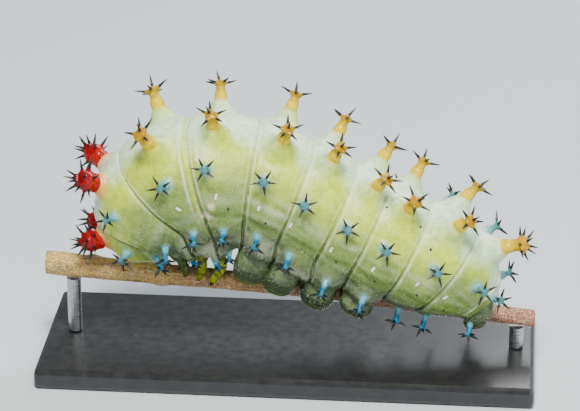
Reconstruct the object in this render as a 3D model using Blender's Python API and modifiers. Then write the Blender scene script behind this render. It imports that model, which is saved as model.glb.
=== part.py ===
"""Larva of the cecropia moth at life size, hunched on a cut length of twig above a small display stand.

The body lies along X with the head towards -X and the tail towards +X. The larva's left side faces -Y.
Its middle line is a chain of segments, each lofted between two sutures, and every tubercle, proleg and
leg is set on the segment that carries it.
"""

import math
import random
from collections import namedtuple

import bmesh
import bpy
from mathutils import Matrix, Vector

MM = 0.001
GAP = 0.3 * MM
SEED = 7

BASE_LENGTH = 82.4 * MM
BASE_WIDTH = 31.0 * MM
BASE_THICKNESS = 3.5 * MM
BASE_BEVEL = 0.8 * MM
ROD_RADIUS = 1.2 * MM
ROD_SIDES = 16
ROD_X = {"stand_rod_front": -36.5 * MM, "stand_rod_rear": 38.0 * MM}

TWIG_END_X = 41.0 * MM
TWIG_Z = 12.85 * MM
TWIG_SLOPE = -0.086
TWIG_BOW = 0.35 * MM
TWIG_RADIUS_FRONT = 2.0 * MM
TWIG_RADIUS_REAR = 1.45 * MM
TWIG_RINGS = 15
TWIG_SIDES = 12

RING_SIDES = 24

# The shares of a segment's length at which it has rings, the segments that reach down to the twig,
# the short segment whose tubercles are trimmed beside its neighbours, and the segments over the legs.
STATIONS = (0.08, 0.25, 0.5, 0.75, 0.92)
SHORT_STATIONS = {
    "prothorax": (0.5,),
    "mesothorax": (0.4,),
    "abdomen_9": (0.3, 0.7),
    "anal_segment": (0.35, 0.7),
}
OVER_TWIG = ("abdomen_6", "abdomen_7", "abdomen_8", "abdomen_9", "anal_segment")
CLEAR_OF = {"abdomen_9": ("abdomen_8", "anal_segment")}
FORE_BODY = ("prothorax", "mesothorax", "metathorax", "abdomen_1", "abdomen_2")

# The middle of the suture between the prothorax and the mesothorax, where the chain starts.
CHAIN_START = Vector((-22.9, 0.0, 19.5)) * MM

# Each segment, head to tail: its length and heading along the chain, its girth half way along, the
# height of the low mounds under its back tubercles, and the tilt, lean and half sizes (to the side,
# to the back and to the belly) of the suture behind it.
Segment = namedtuple("Segment", "name length heading bulge mound tilt lean side back belly")
SEGMENTS = (
    Segment("mesothorax", 3.7 * MM, 111, 1.05, 0.3 * MM, 74, 0, 7.9 * MM, 8.3 * MM, 7.0 * MM),
    Segment("metathorax", 8.0 * MM, 71, 1.12, 1.1 * MM, 46, 3, 9.2 * MM, 8.9 * MM, 11.6 * MM),
    Segment("abdomen_1", 8.1 * MM, 23, 1.08, 1.1 * MM, 15, 2, 9.4 * MM, 9.3 * MM, 13.4 * MM),
    Segment("abdomen_2", 8.0 * MM, -11, 1.06, 0.7 * MM, -7, -2, 9.9 * MM, 10.1 * MM, 10.4 * MM),
    Segment("abdomen_3", 7.2 * MM, -20, 1.06, 1.3 * MM, -21, 0, 9.9 * MM, 9.9 * MM, 8.8 * MM),
    Segment("abdomen_4", 7.2 * MM, -27, 1.06, 1.0 * MM, -25, 1, 9.7 * MM, 9.7 * MM, 9.0 * MM),
    Segment("abdomen_5", 5.9 * MM, -20, 1.06, 0.7 * MM, -25, 4, 9.4 * MM, 9.5 * MM, 8.8 * MM),
    Segment("abdomen_6", 7.4 * MM, -23, 1.07, 0.5 * MM, -27, 8, 8.9 * MM, 9.2 * MM, 8.6 * MM),
    Segment("abdomen_7", 7.1 * MM, -28, 1.08, 1.3 * MM, -38, 10, 8.4 * MM, 9.2 * MM, 8.0 * MM),
    Segment("abdomen_8", 6.6 * MM, -43, 1.10, 1.3 * MM, -51, 11, 5.9 * MM, 5.8 * MM, 4.8 * MM),
)
PULL = {"prothorax": 0.1, "mesothorax": 0.3}
MOUND_RADIUS = 3.4 * MM
MOUND_DEPTH = 3.0 * MM

HEAD_CENTRE = Vector((-16.7, 0.0, 19.75)) * MM
HEAD_RADIUS = 2.5 * MM
HEAD_HEADING = -35
EYE_SPOTS = 6
EYE_SPOT_RADIUS = 0.26 * MM
JAW_ROOT_RADIUS = 0.75 * MM
JAW_TIP_RADIUS = 0.35 * MM
JAW_LENGTH = 1.2 * MM
LIP_SIZE = Vector((0.7, 1.9, 1.1)) * MM
MOUTH_SIZE = Vector((0.25, 3.2, 1.2)) * MM

# The feelers and the legs: their radii in millimetres, from the root to the tip.
FEELER_REACH = (0, 0.45, 0.5, 0.95, 1.0, 1.4)
FEELER_RADII = (0.36, 0.34, 0.29, 0.28, 0.24, 0.1)
LEG_RADII = (0.95, 0.9, 0.75, 0.56, 0.4, 0.12)
LIMB_SIDES = 8

# The hip, knee, shin and claw of each right leg, in millimetres. The left legs mirror them.
LEG_ROUTES = {
    "leg_1": ((-19.0, 2.9, 20.3), (-17.9, 3.5, 19.2), (-16.9, 4.1, 17.4), (-17.1, 2.75, 14.9)),
    "leg_2": ((-17.2, 3.2, 22.3), (-14.9, 3.6, 20.6), (-14.2, 3.9, 18.4), (-15.1, 2.6, 14.6)),
    "leg_3": ((-15.0, 2.6, 23.6), (-12.4, 3.1, 21.6), (-11.2, 3.6, 18.9), (-13.1, 2.5, 14.3)),
}

# Where the prolegs grow, and the height of each pair's feet above the middle of the twig.
PROLEG_ANGLE = 153
PROLEG_SIDES = 12
PROLEG_FOOT = {3: 1.6 * MM, 4: 0.8 * MM, 5: -0.3 * MM, 6: -0.6 * MM}

# A proleg's half width along the body and half depth to the side, from its root inside the belly
# to its foot, and a clasper's place and the same half sizes, in millimetres.
PROLEG_SIZES = ((2.6, 2.3), (2.85, 2.5), (2.85, 2.4), (2.6, 1.9), (1.7, 1.0))
CLASPER_STAGES = (
    ((31.9, 2.6, 12.6), 2.1, 1.8),
    ((31.5, 3.5, 11.0), 2.1, 1.7),
    ((31.0, 3.2, 9.2), 1.8, 1.4),
    ((30.8, 2.9, 8.3), 1.1, 0.8),
)

# A tubercle's skin cone, its stem, its crown and its spines.
Kind = namedtuple("Kind", "cone_radius cone_height root waist crown height spines spine_length sides")
RED = Kind(2.3 * MM, 0.8 * MM, 1.35 * MM, 1.65 * MM, 1.2 * MM, 3.3 * MM, 10, 1.9 * MM, 8)
YELLOW = Kind(2.0 * MM, 1.6 * MM, 1.05 * MM, 0.8 * MM, 0.95 * MM, 2.9 * MM, 5, 1.9 * MM, 7)
GOLD = Kind(2.6 * MM, 1.6 * MM, 1.2 * MM, 1.05 * MM, 1.35 * MM, 2.9 * MM, 8, 1.9 * MM, 8)
BLUE = Kind(1.4 * MM, 0.4 * MM, 0.85 * MM, 0.55 * MM, 0.7 * MM, 2.1 * MM, 5, 1.7 * MM, 6)
SLIM_BLUE = Kind(1.3 * MM, 0.4 * MM, 0.75 * MM, 0.5 * MM, 0.6 * MM, 2.4 * MM, 4, 1.5 * MM, 6)
SMALL_BLUE = Kind(1.0 * MM, 0.3 * MM, 0.6 * MM, 0.4 * MM, 0.5 * MM, 1.5 * MM, 3, 1.2 * MM, 6)

BACK_KINDS = (RED, YELLOW, GOLD)
STALK_SINK = 0.9 * MM
CROWN_ROUNDING = 0.35 * MM

SPINE_RADIUS = 0.27 * MM
SPINE_SIDES = 4
SPINE_SINK = 0.35 * MM

# The spines of a crown stand in one ring, or in two by turns: each ring's tip from upright in
# degrees, its drop as a share of the stem, and its reach as a share of the crown's radius.
SPINE_TIERS = ((52, 0.0, 0.6), (88, 0.35, 0.8))

# Where each tubercle stands: its angle from the middle of the back, its share of the way along the
# segment, and how far it leans to the tail. Each stands on both sides, but one at angle 0 is single.
Site = namedtuple("Site", "kind angle station lean")
SITES = {
    "mesothorax": (Site(RED, 25, 0.5, -5), Site(BLUE, 70, 0.55, -25), Site(SLIM_BLUE, 112, 0.35, -35)),
    "metathorax": (
        Site(RED, 25, 0.62, -5), Site(BLUE, 58, 0.44, -15), Site(SLIM_BLUE, 117, 0.3, -40),
        Site(SMALL_BLUE, 147, 0.42, -20),
    ),
    "abdomen_1": (
        Site(YELLOW, 34, 0.6, 0), Site(BLUE, 70, 0.56, -10), Site(SLIM_BLUE, 118, 0.46, -10),
        Site(SMALL_BLUE, 150, 0.55, 0),
    ),
    "abdomen_2": (
        Site(YELLOW, 28, 0.43, 0), Site(BLUE, 64, 0.28, 0), Site(SLIM_BLUE, 119, 0.46, 0),
        Site(SMALL_BLUE, 148, 0.5, 0),
    ),
    "abdomen_3": (Site(YELLOW, 31, 0.44, 5), Site(BLUE, 67, 0.27, 5), Site(SLIM_BLUE, 126, 0.42, 0)),
    "abdomen_4": (Site(YELLOW, 24, 0.38, 5), Site(BLUE, 69, 0.2, 0), Site(SLIM_BLUE, 130, 0.34, 0)),
    "abdomen_5": (Site(YELLOW, 26, 0.54, 12), Site(BLUE, 69, 0.3, 5), Site(SLIM_BLUE, 136, 0.44, 0)),
    "abdomen_6": (Site(YELLOW, 29, 0.46, 5), Site(BLUE, 69, 0.4, 5), Site(SLIM_BLUE, 138, 0.5, 0)),
    "abdomen_7": (Site(YELLOW, 22, 0.42, 16), Site(BLUE, 64, 0.54, 12), Site(SLIM_BLUE, 146, 0.58, 20)),
    "abdomen_8": (Site(GOLD, 0, 0.38, 32), Site(BLUE, 52, 0.58, 25), Site(SLIM_BLUE, 142, 0.4, 25)),
    "abdomen_9": (Site(BLUE, 38, 0.4, 25),),
}

COLOURS = {
    "skin": ((0.62, 0.68, 0.36), 0.45, 0.0),
    "proleg": ((0.33, 0.40, 0.24), 0.5, 0.0),
    "leg": ((0.35, 0.42, 0.06), 0.4, 0.0),
    "head": ((0.30, 0.36, 0.10), 0.35, 0.0),
    "bark": ((0.33, 0.22, 0.10), 0.8, 0.0),
    "stand": ((0.05, 0.05, 0.055), 0.4, 0.0),
    "rod": ((0.55, 0.55, 0.56), 0.3, 1.0),
}


def clear_scene():
    """Empty the scene."""
    for obj in list(bpy.data.objects):
        bpy.data.objects.remove(obj, do_unlink=True)


def new_collection(name):
    """A collection linked to the scene."""
    collection = bpy.data.collections.new(name)
    bpy.context.scene.collection.children.link(collection)
    return collection


def material(name):
    """A material with the colour, roughness and metallic value of its finish."""
    found = bpy.data.materials.get(name)
    if found:
        return found
    colour, roughness, metallic = COLOURS[name]
    made = bpy.data.materials.new(name)
    made.use_nodes = True
    shader = made.node_tree.nodes["Principled BSDF"]
    shader.inputs["Base Color"].default_value = (*colour, 1)
    shader.inputs["Roughness"].default_value = roughness
    shader.inputs["Metallic"].default_value = metallic
    return made


def add_object(name, mesh, collection, finish=None):
    """An object of this mesh in the collection."""
    obj = bpy.data.objects.new(name, mesh)
    collection.objects.link(obj)
    if finish:
        mesh.materials.append(material(finish))
        mesh.shade_smooth()
        mesh.set_sharp_from_angle(angle=math.radians(40))
    return obj


def mesh_from(bm, name):
    """A mesh with this bmesh's faces, all pointing out."""
    bmesh.ops.recalc_face_normals(bm, faces=bm.faces)
    mesh = bpy.data.meshes.new(name)
    bm.to_mesh(mesh)
    bm.free()
    return mesh


def lofted(name, rings):
    """A closed mesh through rings of equally many points."""
    bm = bmesh.new()
    rows = [[bm.verts.new(point) for point in ring] for ring in rings]
    count = len(rings[0])
    for row, following in zip(rows, rows[1:]):
        for side in range(count):
            after = (side + 1) % count
            bm.faces.new((row[side], row[after], following[after], following[side]))
    bm.faces.new(rows[0][::-1])
    bm.faces.new(rows[-1])
    return mesh_from(bm, name)


def tube(name, points, radii, sides):
    """A closed tapered tube along the points, its rings square to its run."""
    rings = []
    for index, point in enumerate(points):
        along = points[min(index + 1, len(points) - 1)] - points[max(index - 1, 0)]
        turn = along.to_track_quat("Z", "Y")
        rings.append([
            point + turn @ (Vector((math.cos(a), math.sin(a), 0)) * radii[index])
            for a in (2 * math.pi * side / sides for side in range(sides))
        ])
    return lofted(name, rings)


def largest_body(mesh):
    """Keep only the largest closed surface of the mesh."""
    bm = bmesh.new()
    bm.from_mesh(mesh)
    bm.faces.ensure_lookup_table()
    left = set(bm.faces)
    islands = []
    while left:
        reached = [left.pop()]
        island = []
        while reached:
            face = reached.pop()
            island.append(face)
            for edge in face.edges:
                for other in edge.link_faces:
                    if other in left:
                        left.remove(other)
                        reached.append(other)
        islands.append(island)
    islands.sort(key=lambda island: sum(face.calc_area() for face in island))
    for island in islands[:-1]:
        bmesh.ops.delete(bm, geom=island, context="FACES")
    bmesh.ops.triangulate(bm, faces=bm.faces)
    bmesh.ops.dissolve_degenerate(bm, edges=bm.edges, dist=0.001 * MM)
    bm.to_mesh(mesh)
    bm.free()


def combined(target, operation, pieces):
    """Join the pieces to the target, or cut them from it, and remove them."""
    group = bpy.data.collections.new("pieces")
    bpy.context.scene.collection.children.link(group)
    for piece in pieces:
        for owner in list(piece.users_collection):
            owner.objects.unlink(piece)
        group.objects.link(piece)
    boolean = target.modifiers.new("pieces", "BOOLEAN")
    boolean.operation = operation
    boolean.operand_type = "COLLECTION"
    boolean.collection = group
    boolean.solver = "EXACT"
    graph = bpy.context.evaluated_depsgraph_get()
    result = bpy.data.meshes.new_from_object(target.evaluated_get(graph))
    target.modifiers.clear()
    target.data = result
    largest_body(result)
    for piece in list(group.objects):
        bpy.data.objects.remove(piece, do_unlink=True)
    bpy.data.collections.remove(group)
    result.shade_smooth()
    result.set_sharp_from_angle(angle=math.radians(40))


def direction(heading):
    """The unit vector at this heading in the body's upright plane."""
    return Vector((math.cos(math.radians(heading)), 0, math.sin(math.radians(heading))))


def twig_centre(x):
    """The middle of the twig at x."""
    return Vector((x, 0, TWIG_Z + TWIG_SLOPE * x + TWIG_BOW * math.cos(math.pi * x / TWIG_END_X)))


def twig_radius(x):
    """The twig tapers from its front end to its rear end."""
    share = (x + TWIG_END_X) / (2 * TWIG_END_X)
    return TWIG_RADIUS_FRONT + (TWIG_RADIUS_REAR - TWIG_RADIUS_FRONT) * min(1, 1.6 * share)


Suture = namedtuple("Suture", "centre tilt lean side back belly")


def suture(centre, tilt, lean, side, back, belly):
    """A suture whose middle is swung by its lean about the twig, towards the larva's left."""
    pivot = twig_centre(centre.x)
    reach = centre.z - pivot.z
    angle = math.radians(lean)
    swung = Vector((centre.x, -reach * math.sin(angle), pivot.z + reach * math.cos(angle)))
    return Suture(swung, tilt, lean, side, back, belly)


class Flesh:
    """One body segment, lofted between two sutures."""

    def __init__(self, name, front, rear, bulge, mound=0.0):
        self.name = name
        self.front = front
        self.rear = rear
        self.bulge = bulge
        self.mound = mound
        self.pull = PULL.get(name, 1.0)
        self.length = (rear.centre - front.centre).length

    def frame(self, station):
        """The centre, run, back and left directions at this share of the way from front to rear."""
        a, b = self.front, self.rear
        s = station
        run_a = direction(a.tilt) * self.length * self.pull
        run_b = direction(b.tilt) * self.length * self.pull
        centre = (
            a.centre * (2 * s**3 - 3 * s**2 + 1)
            + run_a * (s**3 - 2 * s**2 + s)
            + b.centre * (3 * s**2 - 2 * s**3)
            + run_b * (s**3 - s**2)
        )
        run = direction(a.tilt + (b.tilt - a.tilt) * s)
        back = Vector((-run.z, 0, run.x))
        lean = math.radians(a.lean + (b.lean - a.lean) * s)
        left = Vector((0, -1, 0))
        back, left = (
            back * math.cos(lean) + left * math.sin(lean),
            left * math.cos(lean) - back * math.sin(lean),
        )
        return centre, run, back, left

    def point(self, station, angle, clearance=0.0):
        """A point of the surface, at an angle in degrees from the middle of the back to the left."""
        centre, run, back, left = self.frame(station)
        a, b = self.front, self.rear
        swell = 1 + (self.bulge - 1) * math.sin(math.pi * min(max(station, 0), 1)) ** 0.6
        turn = math.radians(angle)
        side = (a.side + (b.side - a.side) * station) * swell + clearance
        upper = (a.back + (b.back - a.back) * station) * swell + clearance
        lower = (a.belly + (b.belly - a.belly) * station) * swell + clearance
        height = upper if math.cos(turn) > 0 else lower
        return centre + back * height * math.cos(turn) + left * side * math.sin(turn)

    def normal(self, station, angle):
        """The outward direction of the surface there, square to the segment's run."""
        _, run, _, _ = self.frame(station)
        step = 2
        along = self.point(station, angle + step) - self.point(station, angle - step)
        outward = run.cross(along)
        if outward.dot(self.point(station, angle) - self.frame(station)[0]) < 0:
            outward.negate()
        return outward.normalized()

    def rings(self, stations, clearance=0.0):
        """Rings of points at these shares of the length."""
        return [
            [self.point(station, 360 * side / RING_SIDES, clearance) for side in range(RING_SIDES)]
            for station in stations
        ]

    def mesh(self, stations):
        """The segment, half a gap short of each suture."""
        inset = 0.5 * GAP / self.length
        return lofted(self.name, self.rings((inset, *stations, 1 - inset)))

    def clearance(self):
        """A cutter that leaves a gap round this segment."""
        stations = (-0.02, 0.08, 0.25, 0.5, 0.75, 0.92, 1.02)
        return lofted("clearance", self.rings(stations, GAP))


def spine_mesh(length):
    """A straight tapered spine standing on the origin along +Z."""
    bm = bmesh.new()
    bmesh.ops.create_cone(
        bm, cap_ends=True, segments=SPINE_SIDES, radius1=SPINE_RADIUS, radius2=0, depth=length + SPINE_SINK
    )
    bmesh.ops.translate(bm, verts=bm.verts, vec=(0, 0, (length + SPINE_SINK) / 2 - SPINE_SINK))
    bmesh.ops.remove_doubles(bm, verts=bm.verts, dist=0.001 * MM)
    return mesh_from(bm, "spine")


def stalk_mesh(kind):
    """A tubercle's skin cone, stem and crown, turned about +Z, with its root below the origin."""
    stem = kind.height - CROWN_ROUNDING
    profile = (
        (kind.cone_radius * 1.15, -STALK_SINK),
        (kind.root * 1.12, kind.cone_height),
        (kind.waist, kind.cone_height + 0.55 * stem),
        (kind.crown, kind.cone_height + stem + 0.4 * CROWN_ROUNDING),
    )
    return lofted("stalk", [
        oval_ring(Vector((0, 0, height)), Vector((1, 0, 0)), Vector((0, 1, 0)), radius, radius, kind.sides)
        for radius, height in profile
    ])


def facing(place, aim, up="X"):
    """A seat at the place whose +Z points along the aim."""
    return Matrix.Translation(place) @ aim.to_track_quat("Z", up).to_matrix().to_4x4()


def tubercle(root, outward, kind, draw, workshop):
    """The stalk and the spines of one tubercle, as closed pieces."""
    seat = facing(root, outward)
    stalk = add_object("stalk", stalk_mesh(kind), workshop)
    stalk.matrix_world = seat
    pieces = [stalk]
    stem = kind.height - CROWN_ROUNDING
    tiers = SPINE_TIERS if kind.spines > 5 else SPINE_TIERS[:1]
    start = draw.uniform(0, 360)
    for number in range(kind.spines):
        turn = math.radians(start + 360 * number / kind.spines + draw.uniform(-9, 9))
        tip, drop, reach = tiers[number % len(tiers)]
        tip = math.radians(tip + draw.uniform(-8, 8))
        level = kind.cone_height + stem * (1 - drop)
        around = Vector((math.cos(turn), math.sin(turn), 0))
        aim = around * math.sin(tip) + Vector((0, 0, math.cos(tip)))
        place = around * kind.crown * reach + Vector((0, 0, level))
        spine = add_object("spine", spine_mesh(kind.spine_length * draw.uniform(0.85, 1.1)), workshop)
        spine.matrix_world = seat @ facing(place, aim)
        pieces.append(spine)
    return pieces


def seats(flesh, sites):
    """Each tubercle's kind, root and direction, on both sides of the segment or on its middle line."""
    found = []
    for site in sites:
        _, run, _, _ = flesh.frame(site.station)
        lean = math.radians(site.lean)
        for side in ((1, -1) if site.angle else (1,)):
            outward = flesh.normal(site.station, side * site.angle)
            aim = outward * math.cos(lean) + run * math.sin(lean)
            lift = flesh.mound if site.kind in BACK_KINDS else 0
            found.append((site.kind, flesh.point(site.station, side * site.angle) + aim * lift, aim))
    return found


def raise_mounds(mesh, flesh, found):
    """Swell the skin in a low mound under each tubercle of the back."""
    for vertex in mesh.vertices:
        shift = Vector()
        for kind, root, aim in found:
            away = vertex.co - root
            above = away.dot(aim)
            off = (away - aim * above).length / MOUND_RADIUS
            if kind in BACK_KINDS and off < 1 and above > -MOUND_DEPTH:
                shift += aim * flesh.mound * (1 - off**2) ** 1.5
        vertex.co += shift


def armed(flesh, mesh, sites, draw, parts, workshop):
    """A segment's node with its tubercles and spines fused on."""
    found = seats(flesh, sites)
    raise_mounds(mesh, flesh, found)
    node = add_object(flesh.name, mesh, parts, "skin")
    pieces = []
    for kind, root, aim in found:
        pieces += tubercle(root, aim, kind, draw, workshop)
    bpy.context.view_layer.update()
    if pieces:
        combined(node, "UNION", pieces)
    return node


def twig_tube(name, extra=0.0, overrun=0.0):
    """The twig, or a cutter that is thicker by extra and runs out past both its ends."""
    reach = TWIG_END_X + overrun
    stations = [-reach + 2 * reach * ring / (TWIG_RINGS - 1) for ring in range(TWIG_RINGS)]
    radii = [twig_radius(x) + extra for x in stations]
    return tube(name, [twig_centre(x) for x in stations], radii, TWIG_SIDES)


def groove():
    """A cutter that leaves a gap round the twig."""
    return twig_tube("groove", GAP, 2 * MM)


def make_twig(parts):
    """The cut length of twig that the prolegs grip."""
    add_object("perch_twig", twig_tube("perch_twig"), parts, "bark")


def make_stand(parts):
    """A flat base with rounded corners and two rods up to the twig."""
    base = add_object("stand_base", box(Vector((BASE_LENGTH, BASE_WIDTH, BASE_THICKNESS))), parts, "stand")
    base.data.transform(Matrix.Translation((0, 0, BASE_THICKNESS / 2)))
    bevel = base.modifiers.new("edges", "BEVEL")
    bevel.width = BASE_BEVEL
    bevel.segments = 2
    foot = BASE_THICKNESS + GAP
    for name, x in ROD_X.items():
        top = twig_centre(x).z - twig_radius(x) - GAP
        rod = add_object(name, cone(ROD_RADIUS, ROD_RADIUS, top - foot, ROD_SIDES), parts, "rod")
        rod.data.transform(Matrix.Translation((x, 0, (top + foot) / 2)))


def box(size):
    """A box of this size round the origin."""
    bm = bmesh.new()
    bmesh.ops.create_cube(bm, size=1)
    bmesh.ops.scale(bm, verts=bm.verts, vec=size)
    return mesh_from(bm, "box")


def cone(root_radius, tip_radius, height, sides):
    """A cut cone round the origin, its narrow end towards +Z."""
    bm = bmesh.new()
    bmesh.ops.create_cone(
        bm, cap_ends=True, segments=sides, radius1=root_radius, radius2=tip_radius, depth=height
    )
    return mesh_from(bm, "cone")


def ball(radius):
    """A ball round the origin, its poles along Z."""
    bm = bmesh.new()
    bmesh.ops.create_uvsphere(bm, u_segments=16, v_segments=10, radius=radius)
    return mesh_from(bm, "ball")


def oval_ring(centre, across, along, width, depth, sides):
    """A ring of points round the centre, spanned by two directions."""
    return [
        centre + across * width * math.cos(a) + along * depth * math.sin(a)
        for a in (2 * math.pi * side / sides for side in range(sides))
    ]


def cleared(node, cutters, workshop):
    """Cut the cutters' meshes from the node."""
    combined(node, "DIFFERENCE", [add_object("room", cutter, workshop) for cutter in cutters])


def head_room():
    """A ball a gap wider than the head, to clear its neighbours."""
    room = ball(HEAD_RADIUS + GAP)
    room.transform(Matrix.Translation(HEAD_CENTRE))
    return room


def make_head(parts, workshop):
    """The head, tucked under the thorax, with its mouth line, upper lip, jaws and eye spots."""
    forward = direction(HEAD_HEADING)
    up = Vector((forward.z, 0, -forward.x))
    face = facing(HEAD_CENTRE, forward, "Y")
    node = add_object("head", ball(HEAD_RADIUS), parts, "head")
    node.data.transform(face)
    pieces = []
    for side in (-1, 1):
        sideways = Vector((0, side, 0))
        for spot in range(EYE_SPOTS):
            around = math.radians(-55 + 20 * spot)
            aim = forward * math.cos(around) * 0.55 + up * math.sin(around) * 0.5 + sideways * 0.8
            bm = bmesh.new()
            bmesh.ops.create_icosphere(bm, subdivisions=1, radius=EYE_SPOT_RADIUS)
            eye = add_object("eye", mesh_from(bm, "eye"), workshop)
            eye.location = HEAD_CENTRE + aim.normalized() * HEAD_RADIUS
            pieces.append(eye)
        jaw = add_object("jaw", cone(JAW_ROOT_RADIUS, JAW_TIP_RADIUS, JAW_LENGTH, 6), workshop)
        place = HEAD_CENTRE + forward * HEAD_RADIUS * 0.95 + sideways * JAW_ROOT_RADIUS - up * 0.3 * MM
        jaw.matrix_world = facing(place, (forward - sideways * 0.45 - up * 0.2).normalized(), "Y")
        pieces.append(jaw)
    lip = add_object("lip", box(LIP_SIZE), workshop)
    lip.matrix_world = facing(HEAD_CENTRE + forward * HEAD_RADIUS * 0.9 + up * 0.75 * MM, forward, "Y")
    pieces.append(lip)
    bpy.context.view_layer.update()
    combined(node, "UNION", pieces)
    mouth = add_object("mouth", box(MOUTH_SIZE), workshop)
    depth = HEAD_RADIUS + 0.25 * MM
    mouth.matrix_world = facing(HEAD_CENTRE + forward * depth + up * 0.28 * MM, forward, "Y")
    bpy.context.view_layer.update()
    combined(node, "DIFFERENCE", [mouth])
    radii = [value * MM for value in FEELER_RADII]
    for name, side in (("antenna_left", -1), ("antenna_right", 1)):
        aim = (forward * 0.75 + Vector((0, side * 0.62, 0)) + up * 0.1).normalized()
        root = HEAD_CENTRE + aim * (HEAD_RADIUS + GAP)
        points = [root + aim * reach * MM for reach in FEELER_REACH]
        add_object(name, tube(name, points, radii, LIMB_SIDES), parts, "head")


def trim_prothorax(node, rear, workshop):
    """Cut the collar clear of the head and of the mesothorax behind it."""
    beyond = add_object("beyond", box(Vector((20, 20, 4)) * MM), workshop)
    seat = facing(rear.centre, direction(rear.tilt), "Y")
    beyond.matrix_world = seat @ Matrix.Translation((0, 0, 2 * MM - GAP))
    bpy.context.view_layer.update()
    combined(node, "DIFFERENCE", [add_object("room", head_room(), workshop), beyond])


def make_legs(parts, fleshes, workshop):
    """The three pairs of jointed thoracic legs, which reach down to the sides of the twig."""
    radii = [value * MM for value in LEG_RADII]
    for number, route in LEG_ROUTES.items():
        for side_name, side in (("left", -1), ("right", 1)):
            name = number + "_" + side_name
            hip, knee, shin, claw = [Vector((x, side * y, z)) * MM for x, y, z in route]
            points = [hip, hip.lerp(knee, 0.6), knee, shin, shin.lerp(claw, 0.65), claw]
            node = add_object(name, tube(name, points, radii, LIMB_SIDES), parts, "leg")
            fore = [fleshes[part].clearance() for part in FORE_BODY]
            cleared(node, [*fore, groove(), head_room()], workshop)


def proleg_mesh(name, flesh, number, side, extra=0.0):
    """A fleshy lobe from the belly down to the side of the twig, or a cutter that is wider by extra."""
    _, run, back, left = flesh.frame(0.5)
    root = flesh.point(0.5, side * PROLEG_ANGLE)
    inner = root + back * 2.5 * MM - left * side * 0.8 * MM
    foot_x = root.x - back.x * (root.z - twig_centre(root.x).z) / back.z
    beside = twig_radius(foot_x) + 1.4 * MM
    foot = twig_centre(foot_x) + Vector((0, -side * beside, PROLEG_FOOT[number]))
    down = (foot - root).normalized()
    middle = root.lerp(foot, 0.5) + Vector((0, -side * MM, 0))
    centres = (inner, root, middle, foot - down * 0.6 * MM, foot + down * (MM + extra))
    out = down.cross(run).normalized()
    return lofted(name, [
        oval_ring(centre, run, out, width * MM + extra, depth * MM + extra, PROLEG_SIDES)
        for centre, (width, depth) in zip(centres, PROLEG_SIZES)
    ])


def make_prolegs(parts, fleshes, workshop):
    """Four pairs of prolegs, each pressed on the side of the twig and against the next pair."""
    for number in PROLEG_FOOT:
        for side_name, side in (("left", 1), ("right", -1)):
            name = "proleg_%d_%s" % (number, side_name)
            mesh = proleg_mesh(name, fleshes["abdomen_%d" % number], number, side)
            node = add_object(name, mesh, parts, "proleg")
            cutters = [fleshes["abdomen_%d" % n].clearance() for n in (number - 1, number, number + 1)]
            cutters.append(groove())
            if number + 1 in PROLEG_FOOT:
                after = fleshes["abdomen_%d" % (number + 1)]
                cutters.append(proleg_mesh("room", after, number + 1, side, GAP))
            cleared(node, cutters, workshop)


def make_claspers(parts, fleshes, draw, workshop):
    """The anal prolegs, a pair of lobes that clasp the twig under the tail."""
    for name, side in (("anal_proleg_left", -1), ("anal_proleg_right", 1)):
        sideways = Vector((0, side, 0))
        rings = [
            oval_ring(
                Vector((x, side * y, z)) * MM, Vector((1, 0, 0)), sideways, width * MM, depth * MM,
                PROLEG_SIDES,
            )
            for (x, y, z), width, depth in CLASPER_STAGES
        ]
        node = add_object(name, lofted(name, rings), parts, "proleg")
        seat = Vector((30.4, side * 4.4, 10.3)) * MM
        outward = Vector((-0.15, side * 0.7, -0.75)).normalized()
        pieces = tubercle(seat, outward, SLIM_BLUE, draw, workshop)
        bpy.context.view_layer.update()
        combined(node, "UNION", pieces)
        rear = [fleshes[part].clearance() for part in ("abdomen_8", "abdomen_9", "anal_segment")]
        cleared(node, [*rear, groove()], workshop)


def make_fleshes():
    """Every body segment by its name, from the prothorax to the anal segment."""
    chain = [
        suture(Vector((-19.4, 0, 20.2)) * MM, 146, 0, 3.0 * MM, 2.6 * MM, 1.8 * MM),
        suture(CHAIN_START, 102, 0, 5.2 * MM, 5.4 * MM, 2.6 * MM),
    ]
    centre = CHAIN_START
    for piece in SEGMENTS:
        centre = centre + direction(piece.heading) * piece.length
        chain.append(suture(centre, piece.tilt, piece.lean, piece.side, piece.back, piece.belly))
    chain.append(suture(Vector((31.8, 0, 11.9)) * MM, -56, 11, 3.9 * MM, 3.4 * MM, 2.4 * MM))
    chain.append(suture(Vector((33.2, 0, 10.7)) * MM, -58, 9, 1.8 * MM, 1.4 * MM, 1.0 * MM))
    fleshes = {"prothorax": Flesh("prothorax", chain[0], chain[1], 1.04)}
    for piece, front, rear in zip(SEGMENTS, chain[1:], chain[2:]):
        fleshes[piece.name] = Flesh(piece.name, front, rear, piece.bulge, piece.mound)
    fleshes["abdomen_9"] = Flesh("abdomen_9", chain[-3], chain[-2], 1.05)
    fleshes["anal_segment"] = Flesh("anal_segment", chain[-2], chain[-1], 1.1)
    return fleshes


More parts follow.
